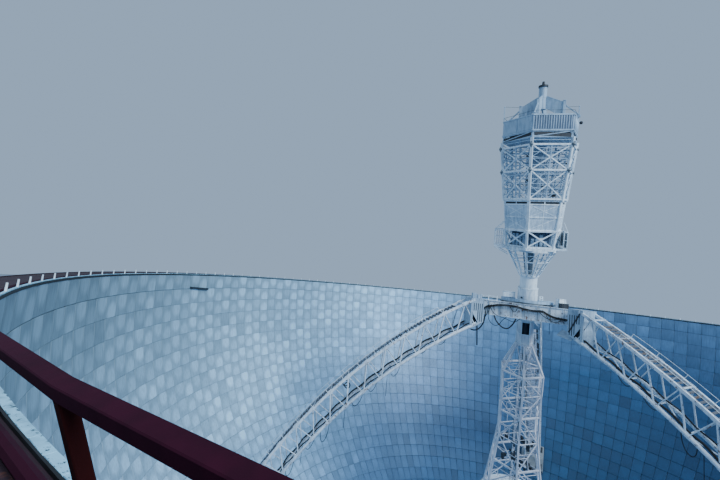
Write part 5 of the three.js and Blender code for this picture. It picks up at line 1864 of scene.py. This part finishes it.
@dataclass
class Tower:
    """The tall open lattice over the cabin: chords, level rails, crossed braces, ball joints and a core."""

    bottom: float = 7.972
    top: float = 12.0
    bottom_radius: float = 2.09
    top_radius: float = 2.5
    storeys: tuple[float, ...] = (8.1, 9.97, 11.57)
    rails: tuple[float, ...] = (8.45, 8.8, 9.1, 9.4, 9.7, 10.3, 10.7, 11.1, 11.35, 11.85)
    floors: tuple[float, ...] = (8.85, 9.85, 10.8, 11.6)
    inner_share: float = 0.7

    def _radius(self, height: float) -> float:
        """Radius of the lattice at a height."""
        share = (height - self.bottom) / (self.top - self.bottom)
        return self.bottom_radius + (self.top_radius - self.bottom_radius) * share

    def _corners(self, height: float, share: float = 1.0, turned: float = TOWER_TURN) -> list[Vector]:
        """Corners at a height, drawn in to a share of the lattice's radius."""
        return hexagon(self._radius(height) * share, height, turned)

    def build(self) -> None:
        """Weld the lattice, its inner posts, the ball joints and the core."""
        lattice, rails = Piece("tower_lattice"), Piece("tower_rails")
        for foot, head in zip(self._corners(self.bottom), self._corners(self.top)):
            lattice.strut(foot, head, 0.17)
        for height in self.storeys:
            lattice.run(self._corners(height), 0.12, Stock.BOX, loop=True)
        for height in self.rails:
            rails.run(self._corners(height), 0.042, Stock.BOX, loop=True)
        for low, high in zip(self.storeys, self.storeys[1:]):
            for (a, b), (c, d) in zip(sides_of(self._corners(low)), sides_of(self._corners(high))):
                foot, head = (a + b) / 2, (c + d) / 2
                rails.strut(foot, head, 0.08)
                for corner in (a, b, c, d):
                    lattice.strut(corner, (foot + head) / 2, 0.075)
                for middle, corner in ((foot, a), (foot, b), (head, c), (head, d)):
                    side = (a + c) / 2 if corner in (a, c) else (b + d) / 2
                    rails.rod(side, middle, 0.045)
        lattice.finish("tube", Finishes.WHITE, "tower_frame")
        rails.finish("tube", Finishes.SHEET)
        self._inside()
        self._joints()

    def _inside(self) -> None:
        """Stand the inner posts, floors and the core column."""
        inner, core = Piece("tower_inner_posts"), Piece("core_column")
        tall = self.top - self.bottom
        turned = TOWER_TURN + 30.0
        for foot, head in zip(*(self._corners(h, self.inner_share, turned) for h in (self.bottom, self.top))):
            inner.strut(foot, head, 0.1)
        for height in self.floors:
            floor = self._corners(height, self.inner_share, turned)
            inner.run(floor, 0.055, Stock.BOX, loop=True)
            for corner, (a, b) in zip(self._corners(height), sides_of([floor[-1], *floor[:-1]])):
                inner.strut(a, corner, 0.045)
                inner.strut(b, corner, 0.045)
        # The inner posts take the darker paint, which paints the shade inside the lattice.
        inner.finish("tube", Finishes.GRIME_AND_SHADE)
        core.drum(UP * self.bottom, 0.33, tall, 12)
        for share in steps_between(0.08, 0.94, 6):
            core.drum(UP * (self.bottom + tall * share), 0.36, 0.08, 12)
        for bearing in (20.0, 75.0, 160.0, 250.0, 330.0):
            foot = on_bearing(0.45, bearing, self.bottom)
            core.rod(foot, foot + UP * tall, 0.05)
        # The core takes the darker paint, which paints the shade inside the lattice.
        core.finish("tube", Finishes.GRIME_AND_SHADE, "tower_core")

    def _joints(self) -> None:
        """Fit the ball joints on the corners and the instruments that hang inside."""
        joints, fittings = Piece("tower_joints"), Piece("tower_instruments")
        for height in self.storeys[1:]:
            for corner in self._corners(height, 1.03):
                joints.ball(corner, 0.12)
                joints.drum(corner - UP * 0.17, 0.065, 0.34, 10)
        for bearing, radius, height, size in (
            (60.0, 1.2, 8.4, 0.28), (-60.0, 1.4, 9.1, 0.16), (15.0, 1.1, 8.9, 0.18),
            (-30.0, 1.5, 11.0, 0.2), (80.0, 1.7, 10.5, 0.16), (200.0, 1.3, 9.5, 0.3),
        ):
            place = on_bearing(radius, bearing, height)
            fittings.slab((size, size, size * 0.8), place)
            fittings.strut(place, UP * height, 0.035)
        joints.finish("tube", Finishes.GREY)
        fittings.finish("tube", Finishes.DARK)


@dataclass
class TopDrum:
    """The hexagonal drum: a dark slanting band, a bright gap and a wall of sheet and ribbed panels."""

    radius: float = 2.5
    bottom: float = 12.002
    deck: float = 0.16
    wall_bottom: float = 12.42
    top: float = 13.45
    post: float = 0.15
    mast_top: float = 14.45

    def build(self) -> None:
        """Build the drum, its masts and its lamp."""
        drum, dark, ribs = Piece("drum_plates"), Piece("drum_dark_band"), Piece("drum_ribs")
        lining = Piece("drum_lining")
        rim, turned = self.radius - 0.02, TOWER_TURN
        drum.ring(self.radius * 0.5, rim - 0.02, self.bottom, self.bottom + self.deck, 6, turned)
        drum.ring(0.0, self.radius * 0.52, self.bottom + 0.02, self.bottom + 0.08, 6, turned)
        drum.ring(self.radius - 0.11, rim - 0.02, self.wall_bottom, self.top, 6, turned)
        for low, high in ((self.wall_bottom, self.wall_bottom + 0.09), (self.top - 0.09, self.top)):
            drum.ring(self.radius - 0.11, self.radius, low, high, 6, turned)
        tall = self.top - self.wall_bottom - 0.2
        middle = (self.top + self.wall_bottom) / 2
        low, high = hexagon(rim - 0.04, self.bottom + 0.05), hexagon(rim - 0.04, self.wall_bottom - 0.03)
        for post in hexagon(self.radius - self.post, self.bottom):
            drum.strut(post, post + UP * (self.top - self.bottom), self.post)
        for i, ((a, _), (c, d)) in enumerate(zip(sides_of(low), sides_of(high))):
            drum.strut(a, d, 0.06)
            drum.strut(c, d, 0.06)
            bearing = tower_side(i)
            wall = rim * HEX_INRADIUS - 0.005
            band = square_to(bearing, wall - 0.03, self.bottom + 0.18) @ turn(-3.0 if i % 2 else 3.0, "Y")
            dark.slab((self.radius * 0.9, 0.04, 0.25), band)
            face = square_to(bearing, wall, middle)
            if i % 3 < 2:
                lining.slab((2.3, 0.02, tall), face @ shift(0.0, 0.01, 0.0), bevel=FINE_BEVEL)
                for x in steps_between(-1.05, 1.05, 14):
                    ribs.slab((0.05, 0.04, tall), face @ shift(x, 0.0, 0.0))
            else:
                for x in (-0.58, 0.58):
                    drum.slab((1.1, 0.03, tall), face @ shift(x, 0.0, 0.0), 0.5, 0.008)
        drum.finish("tube", Finishes.SHEET, "top_drum")
        dark.finish("tube", Finishes.DARK)
        lining.finish("tube", Finishes.LINING)
        ribs.finish("tube", Finishes.SHEET)
        self._inside()
        self._masts()

    def _inside(self) -> None:
        """Put the machinery that shows through the gap on the drum's floor."""
        inside = Piece("drum_machinery")
        floor = self.bottom + self.deck
        for bearing, reach, size, tall in (
            (-40.0, 1.65, 0.45, 0.8), (-10.0, 1.9, 0.2, 1.2), (5.0, 1.05, 0.35, 1.0),
            (38.0, 1.75, 0.6, 0.45), (95.0, 1.55, 0.5, 0.7), (160.0, 1.65, 0.45, 0.9),
            (225.0, 1.5, 0.7, 0.55), (290.0, 1.75, 0.45, 0.9),
        ):
            inside.slab((size, size, tall), square_to(bearing, reach, floor + tall / 2))
        inside.drum(UP * floor, 0.27, 1.2, 16)
        inside.finish("tube", Finishes.DARK)

    def _masts(self) -> None:
        """Raise the two masts with their stay wires, low guard posts and the lamp on the right."""
        masts, wires, lamp = Piece("drum_masts"), Piece("drum_wires"), Piece("drum_lamp")
        corners = hexagon(self.radius - 0.06, self.top)
        for a, b in sides_of(corners):
            for share in (0.25, 0.5, 0.75):
                post = a.lerp(b, share)
                masts.strut(post, post + UP * 0.24, 0.03)
            wires.rod(a + UP * 0.23, b + UP * 0.23, 0.02)
        for foot in (corners[2], corners[5]):
            head = Vector((foot.x, foot.y, self.mast_top))
            masts.strut(foot, head, 0.055)
            masts.ball(head, 0.045)
            wires.rod(head, Vector((head.x * 0.55, head.y * 0.55, self.mast_top - 0.05)), 0.016)
        masts.finish("tube", Finishes.SHEET)
        wires.finish("tube", Finishes.DARK)
        inward = Vector((corners[2].x, corners[2].y, 0.0)).normalized()
        arm = inward * (self.radius - 0.06) + UP * 13.36
        lamp.strut(arm, arm + inward * 0.16, 0.06)
        lamp.ball(arm + inward * 0.19, 0.11)
        lamp.finish("tube", Finishes.DARK)


@dataclass
class VaneSpider:
    """Four deep plates that rise over the drum to the cap, on posts, struts and cross beams."""

    seat: float = 13.452
    thickness: float = 0.09
    post_radius: float = 1.35
    post_top: float = 14.64
    cap_bottom: float = 14.25
    cap_bands: tuple[float, ...] = (14.35, 15.0, 15.6)
    lid_bottom: float = 15.71
    facets: int = 48

    def build(self) -> None:
        """Build the spider and the cap cylinder that it carries."""
        vanes = Piece("vane_plates")
        outline = [(0.26, 14.3), (self.post_radius, self.seat + 0.1), (self.post_radius, 14.55), (0.26, 15.1)]
        plate = WORKSHOP.extrusion(outline, self.thickness)
        plate.transform(UPRIGHT)
        for i in range(4):
            bearing = TOWER_TURN + 90.0 * i
            vanes.add(plate, along_bearing(bearing))
            post = on_bearing(self.post_radius, bearing, self.seat)
            vanes.strut(post, post + UP * (self.post_top - self.seat), 0.17)
            vanes.drum(post + UP * (self.post_top - self.seat), 0.11, 0.03, 12)
            middle = self.seat + 0.07
            vanes.strut(UP * middle, on_bearing(2.32, bearing, middle), 0.13)
            shoulder = on_bearing(self.post_radius, bearing, 14.4)
            vanes.strut(shoulder, on_bearing(2.3, bearing, self.seat + 0.1), 0.075)
            for (near, high), (far, low) in (((0.28, 15.08), (1.34, 14.53)), ((0.28, 14.32), (1.34, 13.58))):
                vanes.strut(on_bearing(near, bearing, high), on_bearing(far, bearing, low), 0.1, 0.045)
        vanes.finish("tube", Finishes.SHEET, "vane_spider")
        cap, lid = Piece("cap_drum"), Piece("cap_lid")
        cap.drum(UP * self.cap_bottom, 0.25, 1.48, self.facets)
        for height in self.cap_bands:
            cap.drum(UP * height, 0.257, 0.04, self.facets)
        cap.finish("tube", Finishes.SHEET, "cap_cylinder")
        lid.drum(UP * self.lid_bottom, 0.3, 0.12, self.facets)
        lid.drum(UP * (self.lid_bottom + 0.12), 0.1, 0.26, 16, 0.8)
        lid.finish("tube", Finishes.DARK)


@dataclass
class Pendulum:
    """The pale lattice that hangs below the ring, with a ladder and a waveguide inside it."""

    rings: tuple[tuple[float, float, float], ...] = (
        (-2.55, 0.56, 0.06),
        (-4.53, 1.53, 0.12),
        (-5.98, 1.5, 0.06),
        (-7.62, 1.5, 0.12),
        (-9.62, 1.51, 0.06),
        (-11.58, 1.8, 0.12),
        (-13.4, 2.1, 0.09),
        (-15.17, 2.4, 0.1),
    )
    collar_top: float = -2.422
    # How many dark boxes darken the pendulum low down, and the bearings, reaches and heights they are
    # scattered over.
    dark_boxes: int = 34
    plant_spans: Pairs = ((0.0, 360.0), (0.2, 1.2), (-12.4, -10.0))
    chord: float = 0.13
    brace: float = 0.06

    def build(self) -> None:
        """Weld the lattice and run the services down it."""
        lattice, light = Piece("pendulum_lattice"), Piece("pendulum_rails")
        stages = [hexagon(radius, height, PENDULUM_TURN) for height, radius, _ in self.rings]
        lattice.drum(UP * (self.collar_top - 0.13), 0.58, 0.13, 48)
        for k, (upper, lower) in enumerate(zip(stages, stages[1:])):
            for i, ((a, b), (c, d)) in enumerate(zip(sides_of(upper), sides_of(lower))):
                lattice.strut(a, c, self.chord)
                lattice.strut(c, d, self.rings[k + 1][2])
                start, end = (a, d) if (i + k) % 2 else (b, c)
                lattice.rod(start, end, self.brace * 1.4)
                middle, low = (start + end) / 2, (c + d) / 2
                light.rod(middle, low, 0.05)
                light.rod(middle, (a + c) / 2 if start == b else (b + d) / 2, 0.05)
        for (height, radius, _), corners in zip(self.rings[1:-1], stages[1:-1]):
            for i in range(3):
                light.rod(corners[i], corners[i + 3], 0.045)
            if height > -11.0:
                inner = [corner.lerp(UP * height, 0.35) for corner in corners]
                light.run(inner, 0.035, loop=True)
        lattice.finish("tube", Finishes.PALE, "pendulum_frame")
        light.finish("tube", Finishes.PALE)
        self._services()

    def _services(self) -> None:
        """Run the ladder and the waveguide."""
        services = Piece("pendulum_services")
        top, bottom = -2.6, -15.1
        services.drum(Vector((0.1, 0.1, bottom)), 0.07, top - bottom, 12)
        for x in (-0.3, -0.06):
            services.rod(Vector((x, -0.12, bottom)), Vector((x, -0.12, top)), 0.035)
        for height in steps_between(bottom + 0.15, top - 0.1, 42):
            services.rod(Vector((-0.3, -0.12, height)), Vector((-0.06, -0.12, height)), 0.025)
        for height, size in ((-3.6, 0.32), (-4.5, 0.45)):
            services.slab((size, size * 0.7, 0.36), Vector((0.12, 0.1, height)))
        services.finish("tube", Finishes.GREY)
        # Dark boxes scattered low inside the pendulum.
        dark_boxes = Piece("pendulum_plant")
        chance = Random(5)
        for _ in range(self.dark_boxes):
            place = square_to(*(chance.uniform(*span) for span in self.plant_spans))
            dark_boxes.slab((chance.choice((0.1, 0.2, 0.3)), 0.15, chance.choice((0.15, 0.25, 0.45))), place)
        dark_boxes.finish("tube", Finishes.DARK)


@dataclass
class Secondary:
    """The spun mirror under the pendulum, its back plate and the feed horn."""

    radius: float = 2.7
    plate_radius: float = 2.55
    plate_top: float = -15.252
    plate_bottom: float = -15.41
    edge_bottom: float = -15.59
    sag: float = 0.55
    throat: float = 0.33
    seat: float = -15.867

    def build(self) -> None:
        """Build the plate, the mirror and the horn."""
        plate, mirror, horn = Piece("secondary_back"), Piece("secondary_dish"), Piece("feed_cone")
        plate.drum(UP * self.plate_bottom, self.plate_radius - 0.02, self.plate_top - self.plate_bottom, 64)
        for i in range(12):
            ends = (0.5, self.plate_radius - 0.1)
            plate.strut(*(on_bearing(end, 30.0 * i, self.plate_top - 0.02) for end in ends), 0.05, 0.04)
        plate.finish("tube", Finishes.WHITE, "secondary_plate")
        top = self.plate_bottom - 0.001
        outline = [(self.throat, top), (self.radius, top), (self.radius, self.edge_bottom)]
        for i in range(1, 13):
            radius = self.radius + (self.throat - self.radius) * i / 12
            outline.append((radius, self.edge_bottom - self.sag * (1 - (radius / self.radius) ** 2)))
        mirror.add(WORKSHOP.lathe(outline, 96))
        mirror.finish("tube", Finishes.MIRROR, "secondary_mirror")
        foot = self.seat - 0.7
        horn.drum(UP * foot, 0.49, 0.4, 48, 0.64)
        horn.drum(UP * (foot + 0.39), 0.31, 0.3, 48)
        for lift in (0.0, 0.1, 0.2):
            horn.drum(UP * (foot + lift), 0.495 - lift * 0.45, 0.02, 48)
        horn.finish("tube", Finishes.WHITE, "feed_horn")


class Studio:
    """Plain pale floor, soft lights, a pale sky and the photographer's camera."""

    SKY = "#AECBEB"
    SKY_STRENGTH = 0.75
    FLOOR = "#C4CBD2"
    FLOOR_SIZE = 400.0
    LENS = 16.92
    SENSOR = 36.0
    REACH = 600.0
    EYE = Vector((0.0, -14.0835, 14.76075))
    YAW, PITCH, ROLL = -0.46721, 0.10366, 0.10126
    AIM = Vector((0.0, 0.0, 12.0))
    LIGHTS = (
        (Vector((40.0, -22.0, 46.0)), 24.0, 40000.0, (0.84, 0.93, 1.0)),
        (Vector((-30.0, -30.0, 52.0)), 30.0, 3000.0, (0.8, 0.9, 1.0)),
    )

    def build(self) -> None:
        """Set the stage."""
        self._floor()
        self._sky()
        for light in self.LIGHTS:
            self._light(*light)
        self._camera()

    def _floor(self) -> None:
        """Lay the floor."""
        bpy.ops.mesh.primitive_plane_add(size=self.FLOOR_SIZE, location=(0.0, 0.0, 0.0))
        floor = bpy.context.object
        floor.name = "studio_floor"
        made = bpy.data.materials.new("Studio floor")
        made.use_nodes = True
        shader = made.node_tree.nodes["Principled BSDF"]
        shader.inputs["Base Color"].default_value = linear(self.FLOOR)
        shader.inputs["Roughness"].default_value = 0.95
        floor.data.materials.append(made)

    def _sky(self) -> None:
        """Fill the world with one pale colour."""
        world = bpy.data.worlds.new("Pale sky")
        world.use_nodes = True
        background = world.node_tree.nodes["Background"]
        background.inputs["Color"].default_value = linear(self.SKY)
        background.inputs["Strength"].default_value = self.SKY_STRENGTH
        bpy.context.scene.world = world

    def _light(self, place: Vector, size: float, power: float, colour: tuple[float, float, float]) -> None:
        """Hang a soft light that points at the telescope's middle.

        Args:
            place: Where it hangs.
            size: Side of its square.
            power: Its power in watts.
            colour: Its colour.
        """
        bpy.ops.object.light_add(type="AREA", location=place)
        lamp = bpy.context.object
        lamp.data.shape = "SQUARE"
        lamp.data.size = size
        lamp.data.energy = power
        lamp.data.color = colour
        lamp.rotation_euler = (self.AIM - place).to_track_quat("-Z", "Y").to_euler()

    def _camera(self) -> None:
        """Stand the camera on the rim, where the photograph was taken."""
        level = math.cos(self.PITCH)
        forward = Vector((math.sin(self.YAW) * level, math.cos(self.YAW) * level, math.sin(self.PITCH)))
        right = Vector((math.cos(self.YAW), -math.sin(self.YAW), 0.0))
        up = right.cross(forward)
        across = right * math.cos(self.ROLL) + up * math.sin(self.ROLL)
        upright = up * math.cos(self.ROLL) - right * math.sin(self.ROLL)
        bpy.ops.object.camera_add(location=self.EYE)
        camera = bpy.context.object
        camera.rotation_euler = Matrix((across, upright, -forward)).transposed().to_euler()
        camera.data.lens = self.LENS
        camera.data.sensor_width = self.SENSOR
        camera.data.clip_end = self.REACH
        bpy.context.scene.camera = camera


def main() -> None:
    """Dress the loaded model, set the stage and note the sizes."""
    logging.basicConfig(level=logging.INFO, format="%(name)s: %(message)s")
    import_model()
    bowl = [BowlShell(), MirrorPanels(), ServiceGap(), Rim(), GuardRail()]
    legs = [Leg(side) for side in LEG_BEARINGS] + [LegHead(side) for side in LEG_BEARINGS]
    hub = [HubGirder(), Yoke(), Neck(), Cone()]
    tower = [Deck(), Bay(), Cabin(), Tower(), TopDrum(), VaneSpider()]
    for assembly in [*bowl, *legs, *hub, *tower, Pendulum(), Secondary()]:
        assembly.build()
    Studio().build()


if __name__ == "__main__":
    main()
